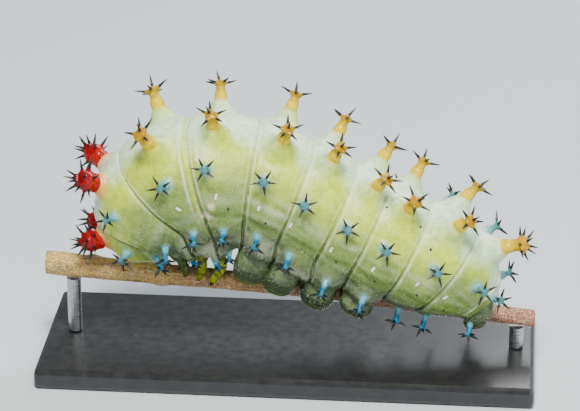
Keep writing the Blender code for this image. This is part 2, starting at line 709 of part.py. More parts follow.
def main():
    """Build every part of the model."""
    clear_scene()
    draw = random.Random(SEED)
    parts = new_collection("cecropia_larva")
    workshop = new_collection("workshop")
    workshop.hide_render = True

    make_stand(parts)
    make_twig(parts)
    fleshes = make_fleshes()
    for name, flesh in fleshes.items():
        mesh = flesh.mesh(SHORT_STATIONS.get(name, STATIONS))
        node = armed(flesh, mesh, SITES.get(name, ()), draw, parts, workshop)
        if name == "prothorax":
            trim_prothorax(node, flesh.rear, workshop)
        if name in ("mesothorax", "metathorax"):
            cleared(node, [head_room()], workshop)
        cutters = [groove()] if name in OVER_TWIG else []
        cutters += [fleshes[part].clearance() for part in CLEAR_OF.get(name, ())]
        if cutters:
            cleared(node, cutters, workshop)
    make_head(parts, workshop)
    make_legs(parts, fleshes, workshop)
    make_prolegs(parts, fleshes, workshop)
    make_claspers(parts, fleshes, draw, workshop)


main()
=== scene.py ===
"""The dressed cecropia larva: a life-size museum model of the full-grown larva on its perch twig."""

import math
import random
from collections import namedtuple

import bpy
import numpy as np
from mathutils import Matrix, Vector, noise


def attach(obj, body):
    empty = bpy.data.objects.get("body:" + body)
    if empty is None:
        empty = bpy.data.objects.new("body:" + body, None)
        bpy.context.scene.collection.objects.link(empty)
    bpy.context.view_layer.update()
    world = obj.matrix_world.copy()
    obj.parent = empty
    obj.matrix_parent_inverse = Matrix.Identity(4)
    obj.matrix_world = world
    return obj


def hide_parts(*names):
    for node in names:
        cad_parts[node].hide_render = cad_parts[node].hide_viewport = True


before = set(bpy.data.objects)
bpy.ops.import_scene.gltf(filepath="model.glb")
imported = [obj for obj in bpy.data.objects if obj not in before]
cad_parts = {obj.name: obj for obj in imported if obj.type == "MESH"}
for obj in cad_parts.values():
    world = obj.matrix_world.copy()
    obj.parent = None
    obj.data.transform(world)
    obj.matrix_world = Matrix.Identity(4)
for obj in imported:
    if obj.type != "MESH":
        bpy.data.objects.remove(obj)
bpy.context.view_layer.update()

MM = 0.001
scene = bpy.context.scene


# The studio.
# A plain pale floor, a broad soft light overhead and to the left of the larva, a low fill in front,
# and a camera at the photograph's angle, a little above the larva's left side.
VIEW_AZIMUTH = math.radians(5)
VIEW_ELEVATION = math.radians(24)
VIEW_DISTANCE = 0.45
VIEW_TARGET = Vector((0, 0, 28 * MM))
VIEW_LENS = 169.3
SENSOR_WIDTH = 36
FLOOR_HALF = 2.0
FLOOR_DROP = 0.02 * MM
WORLD_COLOUR = (0.86, 0.92, 1.0, 1)
WORLD_STRENGTH = 0.30


def srgb(red, green, blue):
    """A colour given by its everyday 0-255 values, as the linear values that the shaders take."""
    linear = []
    for value in (red, green, blue):
        share = value / 255
        linear.append(share / 12.92 if share <= 0.04045 else ((share + 0.055) / 1.055) ** 2.4)
    return (*linear, 1.0)


def dye(red, green, blue):
    """The same colour as an array, to be mixed point by point."""
    return np.array(srgb(red, green, blue))


def add_node(tree, kind, inputs=None, **settings):
    """A shader node with its settings, and with its inputs filled by values or by other nodes' outputs."""
    made = tree.nodes.new("ShaderNode" + kind)
    for name, value in settings.items():
        setattr(made, name, value)
    for name, value in (inputs or {}).items():
        if isinstance(value, bpy.types.NodeSocket):
            tree.links.new(value, made.inputs[name])
        else:
            made.inputs[name].default_value = value
    return made


def new_finish(name, **constants):
    """A material and its Principled shader, with the shader's constant values set."""
    finish = bpy.data.materials.new(name)
    finish.use_nodes = True
    shader = finish.node_tree.nodes["Principled BSDF"]
    for key, value in constants.items():
        shader.inputs[key.replace("_", " ").title().replace("Ior", "IOR")].default_value = value
    return finish, finish.node_tree, shader


def cloud(tree, size, detail=4.0, place=None):
    """A noise pattern whose patches are about this size in metres, in the object's own coordinates."""
    place = place or add_node(tree, "TexCoord").outputs["Object"]
    inputs = {"Vector": place, "Scale": 1 / size, "Detail": detail}
    return add_node(tree, "TexNoise", inputs).outputs["Fac"]


def ramp(tree, value, *stops):
    """A colour ramp through (position, colour) stops."""
    made = add_node(tree, "ValToRGB", {"Fac": value})
    points = made.color_ramp.elements
    while len(points) < len(stops):
        points.new(0.5)
    for point, (position, colour) in zip(points, stops):
        point.position = position
        point.color = colour
    return made.outputs["Color"]


def blend_colours(tree, share, first, second, mode="MIX"):
    """One colour laid over another by a share."""
    made = add_node(tree, "Mix", data_type="RGBA", blend_type=mode)
    for socket, value in ((0, share), (6, first), (7, second)):
        if isinstance(value, bpy.types.NodeSocket):
            tree.links.new(value, made.inputs[socket])
        else:
            made.inputs[socket].default_value = value
    return made.outputs[2]


def bump(tree, shader, *layers):
    """Relief on the shader's surface from (height pattern, depth in metres) layers."""
    normal = None
    for height, depth in layers:
        inputs = {"Height": height, "Distance": depth, "Strength": 1.0}
        if normal:
            inputs["Normal"] = normal
        normal = add_node(tree, "Bump", inputs).outputs["Normal"]
    tree.links.new(normal, shader.inputs["Normal"])


def grey(value):
    """A grey for ramps that drive roughness or a share."""
    return (value, value, value, 1.0)


def base_colour(tree, shader, colour):
    """The shader's own colour, from a pattern."""
    tree.links.new(colour, shader.inputs["Base Color"])


def roughness_over(tree, shader, pattern, low, high, start=0.3, end=0.7):
    """Roughness that follows a pattern from low to high."""
    made = ramp(tree, pattern, (start, grey(low)), (end, grey(high)))
    tree.links.new(made, shader.inputs["Roughness"])


floor_mesh = bpy.data.meshes.new("floor")
corners = [(x * FLOOR_HALF, y * FLOOR_HALF, 0) for x, y in ((-1, -1), (1, -1), (1, 1), (-1, 1))]
floor_mesh.from_pydata(corners, [], [(0, 1, 2, 3)])
floor = bpy.data.objects.new("floor", floor_mesh)
scene.collection.objects.link(floor)
floor.location.z = -FLOOR_DROP
floor_finish, tree, shader = new_finish("floor_paper", roughness=0.85)
paper = ramp(tree, cloud(tree, 0.2), (0.3, srgb(196, 203, 210)), (0.7, srgb(200, 207, 214)))
base_colour(tree, shader, paper)
floor_mesh.materials.append(floor_finish)

scene.world = bpy.data.worlds.new("studio")
scene.world.use_nodes = True
sky = scene.world.node_tree.nodes["Background"]
sky.inputs["Color"].default_value = WORLD_COLOUR
sky.inputs["Strength"].default_value = WORLD_STRENGTH


def soft_light(name, place, size, power, colour):
    """A square soft box that faces the larva."""
    lamp = bpy.data.lights.new(name, "AREA")
    lamp.shape = "SQUARE"
    lamp.size = size
    lamp.energy = power
    lamp.color = colour
    light = bpy.data.objects.new(name, lamp)
    scene.collection.objects.link(light)
    light.location = place
    light.rotation_euler = (VIEW_TARGET - Vector(place)).to_track_quat("-Z", "Y").to_euler()


soft_light("key", (0.02, -0.30, 0.54), 0.16, 6.9, (1.0, 0.98, 0.90))
soft_light("fill", (0.35, -0.45, 0.20), 0.40, 1.0, (0.94, 0.97, 1.0))
soft_light("rim", (0.15, 0.40, 0.40), 0.30, 2.6, (0.95, 0.98, 1.0))

lens = bpy.data.cameras.new("camera")
lens.lens = VIEW_LENS
lens.sensor_width = SENSOR_WIDTH
lens.clip_start = 0.01
camera = bpy.data.objects.new("camera", lens)
scene.collection.objects.link(camera)
back_off = Vector((
    math.sin(VIEW_AZIMUTH) * math.cos(VIEW_ELEVATION),
    -math.cos(VIEW_AZIMUTH) * math.cos(VIEW_ELEVATION),
    math.sin(VIEW_ELEVATION),
))
camera.location = VIEW_TARGET + back_off * VIEW_DISTANCE
camera.rotation_mode = "QUATERNION"
camera.rotation_quaternion = (-back_off).to_track_quat("-Z", "Y")
scene.camera = camera


# The display stand.
# A flat base of satin black lacquered board with softened edges, and two short rods of brushed steel
# that stop just under the twig. Both keep the shape that the solids give them.
lacquer, tree, shader = new_finish("black_lacquer", roughness=0.32, coat_weight=0.35, coat_roughness=0.2)
dust = cloud(tree, 0.0016, 6)
tone = ramp(tree, dust, (0.35, srgb(26, 27, 28)), (0.75, srgb(38, 39, 41)))
base_colour(tree, shader, tone)
roughness_over(tree, shader, dust, 0.28, 0.42, end=0.8)
bump(tree, shader, (cloud(tree, 0.0008, 3), 0.012 * MM))
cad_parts["stand_base"].material_slots[0].material = lacquer

steel, tree, shader = new_finish("brushed_steel", metallic=1.0, roughness=0.3)
place = add_node(tree, "TexCoord").outputs["Object"]
spin = add_node(tree, "Mapping", {"Vector": place, "Scale": (1, 1, 12)})
brushed = cloud(tree, 0.0015, 5, spin.outputs["Vector"])
tone = ramp(tree, brushed, (0.3, srgb(150, 151, 153)), (0.7, srgb(196, 197, 199)))
base_colour(tree, shader, tone)
roughness_over(tree, shader, brushed, 0.24, 0.42)
bump(tree, shader, (brushed, 0.01 * MM))
for rod in ("stand_rod_front", "stand_rod_rear"):
    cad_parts[rod].material_slots[0].material = steel


# The perch twig.
# A cut length of a young branch: golden-brown bark with pale down at the front end, redder and speckled
# with raised pores towards the rear, a few leaf scars, and a clean cut at both ends that shows the pith.
TWIG_END_X = 40.95 * MM
TWIG_Z = 12.85 * MM
TWIG_SLOPE = -0.086
TWIG_BOW = 0.35 * MM
TWIG_RADIUS_FRONT = 2.0 * MM
TWIG_RADIUS_REAR = 1.45 * MM
TWIG_STEP = 0.28 * MM
TWIG_SIDES = 72
TWIG_PORES = 170
PORE_RISE = 0.06 * MM
PORE_STRETCH = 1.6
SCAR_RISE = 0.32 * MM
GOLDEN_BARK, RUSSET_BARK = dye(190, 152, 58), dye(152, 94, 70)
DEEP_BARK, PALE_BARK, PITH = dye(104, 66, 36), dye(214, 190, 160), dye(226, 214, 178)
LEAF_SCARS = ((-33.0 * MM, 70), (-21.5 * MM, 250), (33.8 * MM, 100), (12.0 * MM, 300))


def twig_height(x):
    """The height of the twig's middle at x."""
    return TWIG_Z + TWIG_SLOPE * x + TWIG_BOW * np.cos(math.pi * x / TWIG_END_X)


def twig_centre(x):
    """The middle of the twig at x."""
    return Vector((x, 0, twig_height(x)))


def twig_radius(x):
    """The twig tapers from its front end to its rear end."""
    share = (x + TWIG_END_X) / (2 * TWIG_END_X)
    return TWIG_RADIUS_FRONT + (TWIG_RADIUS_REAR - TWIG_RADIUS_FRONT) * np.minimum(1, 1.6 * share)


def piece_from(name, points, faces, finish, slot, nodes, tints=None):
    """A smooth piece that rides on the body and stands for these nodes, with a tint for each point."""
    mesh = bpy.data.meshes.new(name)
    mesh.from_pydata([tuple(point) for point in points], [], faces)
    mesh.validate()
    mesh.shade_smooth()
    mesh.materials.append(finish)
    if tints is not None:
        layer = mesh.color_attributes.new("tint", "FLOAT_COLOR", "POINT")
        layer.data.foreach_set("color", np.asarray(tints, dtype=np.float32).ravel())
    piece = bpy.data.objects.new(name, mesh)
    scene.collection.objects.link(piece)
    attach(piece, "root")
    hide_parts(*nodes)
    return piece


def tube_faces(rows, sides):
    """The faces of a tube of rings, with its ends closed by a fan round two last points."""
    faces = [
        (row * sides + side, row * sides + (side + 1) % sides,
         (row + 1) * sides + (side + 1) % sides, (row + 1) * sides + side)
        for row in range(rows - 1) for side in range(sides)
    ]
    last, first_end = (rows - 1) * sides, rows * sides
    faces += [((side + 1) % sides, side, first_end) for side in range(sides)]
    faces += [(last + side, last + (side + 1) % sides, first_end + 1) for side in range(sides)]
    return faces


def counted_on(faces, start):
    """The faces with their corners counted on from this start."""
    return [tuple(start + corner for corner in face) for face in faces]


def coated(tint, *layers):
    """A colour, or the tints of many points, with each (colour, share) layer laid over it in turn."""
    for colour, share in layers:
        tint = tint + (colour - tint) * np.asarray(share)[..., None]
    return tint


def own_tint(tree):
    """The colour that is stored at each point of the piece."""
    return add_node(tree, "VertexColor", layer_name="tint").outputs["Color"]


draw = random.Random(11)
pores = []
for _ in range(TWIG_PORES):
    x = draw.uniform(-TWIG_END_X, TWIG_END_X)
    pores.append((x, draw.uniform(0, 2 * math.pi), draw.uniform(0.12, 0.30) * MM))
twig_rows = round(2 * TWIG_END_X / TWIG_STEP) + 1
points, tints = [], []
for row in range(twig_rows):
    x = -TWIG_END_X + 2 * TWIG_END_X * row / (twig_rows - 1)
    centre = twig_centre(x)
    radius = twig_radius(x)
    close = [pore for pore in pores if abs(pore[0] - x) < 2.2 * pore[2]]
    for side in range(TWIG_SIDES):
        turn = 2 * math.pi * side / TWIG_SIDES
        outward = Vector((0, math.cos(turn), math.sin(turn)))
        place = centre + outward * radius
        ridges = noise.noise(Vector((place.x / (4 * MM), turn * 3.2, 0)))
        grain = noise.noise(place / (0.35 * MM))
        lumps = noise.noise(place / (3 * MM))
        lift = 0.07 * MM * ridges + 0.035 * MM * grain + 0.08 * MM * lumps
        pale = 0.0
        for pore_x, pore_turn, size in close:
            around = (turn - pore_turn + math.pi) % (2 * math.pi) - math.pi
            reach = math.hypot((x - pore_x) / (PORE_STRETCH * size), around * radius / size)
            swell = max(0.0, 1 - reach * reach)
            lift += PORE_RISE * swell
            pale = max(pale, swell)
        for scar_x, scar_turn in LEAF_SCARS:
            around = (math.degrees(turn) - scar_turn + 180) % 360 - 180
            reach = math.hypot((x - scar_x) / (1.5 * MM), math.radians(around) * radius / (1.2 * MM))
            lift += SCAR_RISE * math.exp(-2.2 * reach * reach)
            pale = max(pale, 0.5 * math.exp(-8 * (reach - 0.6) ** 2))
        points.append(centre + outward * (radius + lift - 0.03 * MM))
        front = min(1, max(0, (6 * MM - x) / (30 * MM)))
        tints.append(coated(
            RUSSET_BARK, (GOLDEN_BARK, front),
            (DEEP_BARK, min(1, max(0, 0.25 - 0.9 * ridges - 0.5 * grain))),
            (PALE_BARK, min(1, 0.75 * pale + 0.35 * max(0, grain))),
        ))
points += [twig_centre(-TWIG_END_X), twig_centre(TWIG_END_X)]
tints += [PITH] * 2

bark, tree, shader = new_finish("twig_bark", roughness=0.75)
fleck = cloud(tree, 0.00022, 4)
pale_fleck = ramp(tree, fleck, (0.52, grey(0)), (0.62, grey(0.55)))
dark_fleck = ramp(tree, fleck, (0.34, grey(0.5)), (0.44, grey(0)))
speckled = blend_colours(tree, pale_fleck, own_tint(tree), srgb(222, 205, 180))
speckled = blend_colours(tree, dark_fleck, speckled, srgb(60, 34, 22))
base_colour(tree, shader, speckled)
bump(tree, shader, (cloud(tree, 0.0005, 5), 0.08 * MM), (fleck, 0.03 * MM))
piece_from("twig", points, tube_faces(twig_rows, TWIG_SIDES), bark, "bark", ("perch_twig",), tints)


# The skin of the body.
# One continuous soft skin from the collar behind the head to the tail, drawn in at every segment's
# suture and raised in a cone under each spiny tubercle. It is thin, waxy and a little translucent.
CHAIN_START = Vector((-22.9, 0.0, 19.5)) * MM
SKIN_COLUMNS = 200
SKIN_STEP = 0.30 * MM
TAIL_CAP = 0.8 * MM

# Each segment, head to tail: its length and heading along the chain, its girth half way along, the
# height of the low mounds under its back tubercles, and the tilt, lean and half sizes (to the side,
# to the back and to the belly) of the suture behind it.
Segment = namedtuple("Segment", "name length heading bulge mound tilt lean side back belly")
SEGMENTS = (
    Segment("mesothorax", 3.7, 111, 1.05, 0.3, 74, 0, 7.9, 8.3, 7.0),
    Segment("metathorax", 8.0, 71, 1.12, 1.1, 46, 3, 9.2, 8.9, 11.6),
    Segment("abdomen_1", 8.1, 23, 1.08, 1.1, 15, 2, 9.4, 9.3, 13.4),
    Segment("abdomen_2", 8.0, -11, 1.06, 0.7, -7, -2, 9.9, 10.1, 10.4),
    Segment("abdomen_3", 7.2, -20, 1.06, 1.3, -21, 0, 9.9, 9.9, 8.8),
    Segment("abdomen_4", 7.2, -27, 1.06, 1.0, -25, 1, 9.7, 9.7, 9.0),
    Segment("abdomen_5", 5.9, -20, 1.06, 0.7, -25, 4, 9.4, 9.5, 8.8),
    Segment("abdomen_6", 7.4, -23, 1.07, 0.5, -27, 8, 8.9, 9.2, 8.6),
    Segment("abdomen_7", 7.1, -28, 1.08, 1.3, -38, 10, 8.4, 9.2, 8.0),
    Segment("abdomen_8", 6.6, -43, 1.10, 1.3, -51, 11, 5.9, 5.8, 4.8),
)
MOUNDS = {piece.name: piece.mound * MM for piece in SEGMENTS}
MOUND_RADIUS = 3.4 * MM
BACK_KINDS = ("red", "yellow", "gold")
Suture = namedtuple("Suture", "centre tilt lean side back belly")


def direction(heading):
    """The unit vector at this heading in the body's upright plane."""
    return Vector((math.cos(math.radians(heading)), 0, math.sin(math.radians(heading))))


def leaned(centre, lean):
    """Swing a point of the upright plane about the twig towards the larva's left."""
    pivot = twig_centre(centre.x)
    reach = centre.z - pivot.z
    angle = math.radians(lean)
    return Vector((centre.x, -reach * math.sin(angle), pivot.z + reach * math.cos(angle)))


def suture(place, tilt, lean, side, back, belly):
    """A suture from its middle and its half sizes in millimetres."""
    return Suture(leaned(place, lean), tilt, lean, side * MM, back * MM, belly * MM)


sutures = [
    suture(Vector((-19.4, 0, 20.2)) * MM, 146, 0, 3.0, 2.6, 1.8),
    suture(CHAIN_START, 102, 0, 5.2, 5.4, 2.6),
]
middle = CHAIN_START
for piece in SEGMENTS:
    middle = middle + direction(piece.heading) * piece.length * MM
    sutures.append(suture(middle, piece.tilt, piece.lean, piece.side, piece.back, piece.belly))
sutures.append(suture(Vector((31.8, 0, 11.9)) * MM, -56, 11, 3.9, 3.4, 2.4))
sutures.append(suture(Vector((33.2, 0, 10.7)) * MM, -58, 9, 1.8, 1.4, 1.0))
NAMES = ["prothorax"] + [piece.name for piece in SEGMENTS] + ["abdomen_9", "anal_segment"]
BULGES = [1.04] + [piece.bulge for piece in SEGMENTS] + [1.05, 1.1]
PULLS = {"prothorax": 0.1, "mesothorax": 0.3}


def segment_frame(number, share):
    """The centre, run, back and left directions at a share of the way along a segment."""
    front, rear = sutures[number], sutures[number + 1]
    pull = PULLS.get(NAMES[number], 1.0)
    span = (rear.centre - front.centre).length * pull
    eased = 3 * share**2 - 2 * share**3
    centre = (
        front.centre * (1 - eased) + direction(front.tilt) * span * (share**3 - 2 * share**2 + share)
        + rear.centre * eased + direction(rear.tilt) * span * (share**3 - share**2)
    )
    turned = share * pull + eased * (1 - pull)
    run = direction(front.tilt + (rear.tilt - front.tilt) * turned)
    back = Vector((-run.z, 0, run.x))
    left = Vector((0, -1, 0))
    lean = math.radians(front.lean + (rear.lean - front.lean) * share)
    return (
        centre, run,
        back * math.cos(lean) + left * math.sin(lean),
        left * math.cos(lean) - back * math.sin(lean),
    )


def skin_point(number, share, angle):
    """A point of the body at an angle in degrees from the middle of the back towards the left."""
    centre, _, back, left = segment_frame(number, share)
    front, rear = sutures[number], sutures[number + 1]
    swell = 1 + (BULGES[number] - 1) * math.sin(math.pi * min(max(share, 0), 1)) ** 0.6
    turn = math.radians(angle)
    side = (front.side + (rear.side - front.side) * share) * swell
    upper = (front.back + (rear.back - front.back) * share) * swell
    lower = (front.belly + (rear.belly - front.belly) * share) * swell
    height = upper if math.cos(turn) > 0 else lower
    return centre + back * height * math.cos(turn) + left * side * math.sin(turn)


def skin_normal(number, share, angle):
    """The outward direction of the body there, square to its run."""
    centre, run, _, _ = segment_frame(number, share)
    along = skin_point(number, share, angle + 2) - skin_point(number, share, angle - 2)
    outward = run.cross(along)
    if outward.dot(skin_point(number, share, angle) - centre) < 0:
        outward.negate()
    return outward.normalized()


# The soft lobes of the belly about the legs and the hips over the prolegs: segment, share along it,
# angle, height and reach in millimetres, and the share of the push that is downward.
Lobe = namedtuple("Lobe", "segment share angle height reach down")
LOBES = (
    Lobe("metathorax", 0.15, 146, 1.7, 2.8, 0.95), Lobe("metathorax", 0.80, 139, 2.8, 3.3, 0.95),
    Lobe("abdomen_1", 0.68, 146, 1.9, 2.9, 0.95), Lobe("abdomen_2", 0.50, 150, 0.5, 2.6, 0.9),
    Lobe("abdomen_3", 0.50, 142, 2.7, 4.3, 0.78), Lobe("abdomen_4", 0.50, 142, 2.7, 4.6, 0.78),
    Lobe("abdomen_5", 0.44, 143, 2.6, 4.7, 0.78), Lobe("abdomen_6", 0.50, 144, 2.3, 4.1, 0.78),
)


def lobed(places):
    """The places moved out with the soft lobes that they lie on."""
    for lobe in LOBES:
        for side in (1, -1):
            heart = np.array(skin_point(NAMES.index(lobe.segment), lobe.share, side * lobe.angle))
            push = np.array((0, -side * math.sqrt(1 - lobe.down**2), -lobe.down)) * lobe.height * MM
            away = np.linalg.norm(places - heart, axis=-1) / (lobe.reach * MM)
            places = places + (np.clip(1 - away**2, 0, 1) ** 1.5)[..., None] * push
    return places


# The tubercles' places: kind, angle from the middle of the back, share of the way along the segment,
# lean to the tail, and size against the kind's own. Each stands on both sides, one at angle 0 is single.
Site = namedtuple("Site", "kind angle station lean size")
SITES = {
    "mesothorax": (
        Site("red", 25, 0.58, -5, 1), Site("blue", 70, 0.55, -25, 1), Site("slim", 112, 0.35, -35, 1),
    ),
    "metathorax": (
        Site("red", 25, 0.62, -5, 1), Site("blue", 58, 0.44, -15, 1), Site("slim", 117, 0.3, -40, 1),
        Site("small", 147, 0.42, -20, 1.2),
    ),
    "abdomen_1": (
        Site("yellow", 34, 0.6, 0, 1.15), Site("blue", 70, 0.56, -10, 1), Site("slim", 118, 0.46, -10, 1),
        Site("small", 150, 0.55, 0, 1.2),
    ),
    "abdomen_2": (
        Site("yellow", 28, 0.43, 0, 1), Site("blue", 64, 0.28, 0, 1), Site("slim", 119, 0.46, 0, 1),
        Site("small", 148, 0.5, 0, 1),
    ),
    "abdomen_3": (
        Site("yellow", 31, 0.44, 5, 1), Site("blue", 67, 0.27, 5, 1),
        Site("slim", 120, 0.42, 0, 1),
    ),
    "abdomen_4": (
        Site("yellow", 24, 0.38, 5, 1), Site("blue", 69, 0.2, 0, 1),
        Site("slim", 123, 0.34, 0, 1),
    ),
    "abdomen_5": (
        Site("yellow", 26, 0.54, 12, 1), Site("blue", 69, 0.3, 5, 1),
        Site("slim", 128, 0.44, 0, 1),
    ),
    "abdomen_6": (
        Site("yellow", 29, 0.46, 5, 1), Site("blue", 69, 0.4, 5, 1),
        Site("slim", 130, 0.5, 0, 1),
    ),
    "abdomen_7": (
        Site("yellow", 22, 0.42, 16, 1), Site("blue", 64, 0.54, 12, 1),
        Site("slim", 146, 0.58, 20, 1),
    ),
    "abdomen_8": (
        Site("gold", 0, 0.38, 32, 1), Site("blue", 52, 0.58, 25, 1.1),
        Site("slim", 142, 0.4, 25, 1),
    ),
    "abdomen_9": (Site("blue", 38, 0.4, 25, 1),),
}
# The tail rolls to the left, so the right side's upper blue tubercles there stand nearer to the middle of
# the back: how much less their angle and their share of the way along are.
RIGHT_SHIFTS = {("abdomen_7", "blue"): (25, 0.24), ("abdomen_8", "blue"): (26, 0.40)}

# A kind's skin cone (radius at its foot, radius at its top, height).
CONES = {
    "red": (2.5 * MM, 1.5 * MM, 0.8 * MM),
    "yellow": (2.5 * MM, 0.95 * MM, 1.6 * MM),
    "gold": (3.2 * MM, 1.2 * MM, 1.5 * MM),
    "blue": (1.5 * MM, 0.75 * MM, 0.35 * MM),
    "slim": (1.3 * MM, 0.6 * MM, 0.35 * MM),
    "small": (1.0 * MM, 0.5 * MM, 0.25 * MM),
}
Knob = namedtuple("Knob", "kind segment root aim size")
knobs = []
for number, name in enumerate(NAMES):
    for site in SITES.get(name, ()):
        for side in ((1, -1) if site.angle else (1,)):
            turn, slide = RIGHT_SHIFTS.get((name, site.kind), (0, 0)) if side < 0 else (0, 0)
            angle = side * (site.angle - turn)
            station = site.station - slide
            root = skin_point(number, station, angle)
            outward = skin_normal(number, station, angle)
            _, run, _, _ = segment_frame(number, station)
            lean = math.radians(site.lean)
            aim = (outward * math.cos(lean) + run * math.sin(lean)).normalized()
            root = Vector(lobed(np.array(root)))
            if site.kind in BACK_KINDS:
                root = root + aim * MOUNDS[name]
            knobs.append(Knob(site.kind, name, root, aim, site.size))


def smooth(low, high, value):
    """A soft step from 0 at low to 1 at high."""
    share = np.clip((value - low) / (high - low), 0, 1)
    return share * share * (3 - 2 * share)


def noise_at(places, size):
    """Smooth noise between -1 and 1, with patches of this size, at each place."""
    scaled = (places / size).reshape(-1, 3)
    return np.array([noise.noise(Vector(place)) for place in scaled]).reshape(places.shape[:-1])


def line_at(distance, centre, width):
    """1 along a line at this distance, fading to 0 beside it."""
    return np.exp(-(((distance - centre) / width) ** 2))


def surface_of(rings):
    """The run along a surface of rings, and its outward direction, at each point."""
    around = np.roll(rings, -1, axis=1) - np.roll(rings, 1, axis=1)
    along = np.gradient(rings, axis=0)
    outward = np.cross(along, around)
    outward /= np.linalg.norm(outward, axis=2, keepdims=True) + 1e-12
    outward *= np.sign((outward * (rings - rings.mean(axis=1, keepdims=True))).sum(axis=2, keepdims=True))
    return along, outward


def off_the_twig(places, gap):
    """The places moved out of the twig, to at least this gap from it."""
    axis = twig_height(places[..., 0])
    reach = np.hypot(places[..., 1], places[..., 2] - axis) + 1e-9
    push = np.maximum(1, (twig_radius(places[..., 0]) + gap) / reach)
    return np.stack([places[..., 0], places[..., 1] * push, axis + (places[..., 2] - axis) * push], axis=2)


# The skin's rings of points, crowded towards the sutures, with a rounded cap at the tail. Each point keeps
# its way to the nearest suture, measured along the skin.
MIN_ROWS = 12
TAIL_ROWS = 6
FAR_OFF = 9.0
CROWDING = 0.09
TWIG_GAP = 0.22 * MM
rows, row_segment, row_share = [], [], []
for number in range(len(NAMES)):
    long_side = (skin_point(number, 0, 0) - skin_point(number, 1, 0)).length
    middle_length = (sutures[number + 1].centre - sutures[number].centre).length
    count = max(MIN_ROWS, round(max(long_side, middle_length) / SKIN_STEP))
    for step in range(count + (number == len(NAMES) - 1)):
        share = step / count - CROWDING * math.sin(2 * math.pi * step / count)
        rows.append([
            tuple(skin_point(number, share, 360 * column / SKIN_COLUMNS)) for column in range(SKIN_COLUMNS)
        ])
        row_segment.append(number)
        row_share.append(share)
tail_centre, tail_run, _, _ = segment_frame(len(NAMES) - 1, 1)
tail_ring = np.array(rows[-1])
for step in range(1, TAIL_ROWS):
    turn = math.radians(90 * step / TAIL_ROWS)
    shrunk = np.array(tail_centre) + (tail_ring - np.array(tail_centre)) * math.cos(turn)
    rows.append((shrunk + np.array(tail_run) * TAIL_CAP * math.sin(turn)).tolist())
    row_segment.append(len(NAMES) - 1)
    row_share.append(1.0)

skin = np.array(rows)
segment_of = np.array(row_segment)[:, None] * np.ones(SKIN_COLUMNS)
share_of = np.array(row_share)[:, None] * np.ones(SKIN_COLUMNS)
angle_of = np.ones(len(rows))[:, None] * (360 * np.arange(SKIN_COLUMNS) / SKIN_COLUMNS)
from_back = np.minimum(angle_of, 360 - angle_of)

steps = np.linalg.norm(np.diff(skin, axis=0), axis=2)
travelled = np.vstack([np.zeros(SKIN_COLUMNS), np.cumsum(steps, axis=0)])
to_suture = np.full(skin.shape[:2], FAR_OFF)
after_suture = np.zeros(skin.shape[:2])
for number in range(1, len(NAMES)):
    start = row_segment.index(number)
    away = travelled - travelled[start]
    nearer = np.abs(away) < to_suture
    to_suture = np.where(nearer, np.abs(away), to_suture)
    after_suture = np.where(nearer, away, after_suture)

# The relief: lumps and fine grain, each segment's edge lapping over the next, the sutures, the open one
# between the first two abdominal segments, small folds beside them, upright streaks and the flank's folds.
# Heights are in millimetres. Each ridge or groove has its height, place, width and where it shows.
_, outward_of = surface_of(skin)
broad = noise_at(skin, 4.5 * MM)
rumple = noise_at(skin, 1.3 * MM)
fine = noise_at(skin, 0.45 * MM)
near_fold = np.exp(-to_suture / (1.5 * MM))
at_open_suture = (np.abs(segment_of + share_of - 4) < 0.5) * (1 - smooth(85, 110, from_back))
streak_map = np.stack([angle_of / 7, share_of * 0.8 + segment_of * 9, 0 * share_of], axis=2) * MM
upright = noise_at(streak_map, MM)
relief = 0.16 * broad + 0.05 * rumple + 0.018 * fine
relief += 0.16 * np.exp(-np.clip(after_suture, 0, None) / (1.4 * MM)) * (after_suture > 0)
relief += 0.05 * np.exp(np.clip(after_suture, None, 0) / (0.7 * MM)) * (after_suture <= 0)
relief += 0.07 * near_fold * np.sin(2 * math.pi * to_suture / (1.05 * MM) + 2 * broad)
relief += 0.12 * upright * smooth(40, 100, from_back)
for height, distance, place, width, where in (
    (-0.22, to_suture, 0, 0.30 * MM, 1),
    (-0.30, to_suture, 0, 0.38 * MM, smooth(88, 128, from_back)),
    (-0.22, after_suture, -0.55 * MM, 0.55 * MM, at_open_suture),
    (0.14, after_suture, -1.5 * MM, 0.35 * MM, at_open_suture),
    (0.30, from_back, 98, 9, 1 - near_fold),
    (-0.30, from_back, 109 + 7 * broad, 5, 1 - near_fold),
    (-0.20, from_back, 132 + 8 * broad, 4, 1 - 0.5 * near_fold),
):
    relief += height * line_at(distance, place, width) * where
skin = lobed(skin) + outward_of * relief[..., None] * MM

knob_distance = []
for knob in knobs:
    foot, top, height = (value * knob.size for value in CONES[knob.kind])
    away = skin - np.array(knob.root)
    along_aim = away @ np.array(knob.aim)
    reach = np.linalg.norm(away - along_aim[..., None] * np.array(knob.aim), axis=2)
    reach = np.where(along_aim > -3 * MM, reach, FAR_OFF)
    if knob.kind in BACK_KINDS:
        mound = np.clip(1 - (reach / MOUND_RADIUS) ** 2, 0, 1) ** 1.5
        skin = skin + np.array(knob.aim) * (MOUNDS[knob.segment] * mound)[..., None]
    rise = 1 - np.clip((reach - 0.75 * top) / (foot - 0.75 * top), 0, 1)
    rise = rise**2 * (3 - 2 * rise)
    ringed = 0.03 * MM * np.sin(2 * math.pi * reach / (0.5 * MM)) * (rise > 0.02) * (rise < 0.9)
    skin = skin + np.array(knob.aim) * (height * rise + ringed)[..., None]
    knob_distance.append(reach)

skin = off_the_twig(skin, TWIG_GAP)

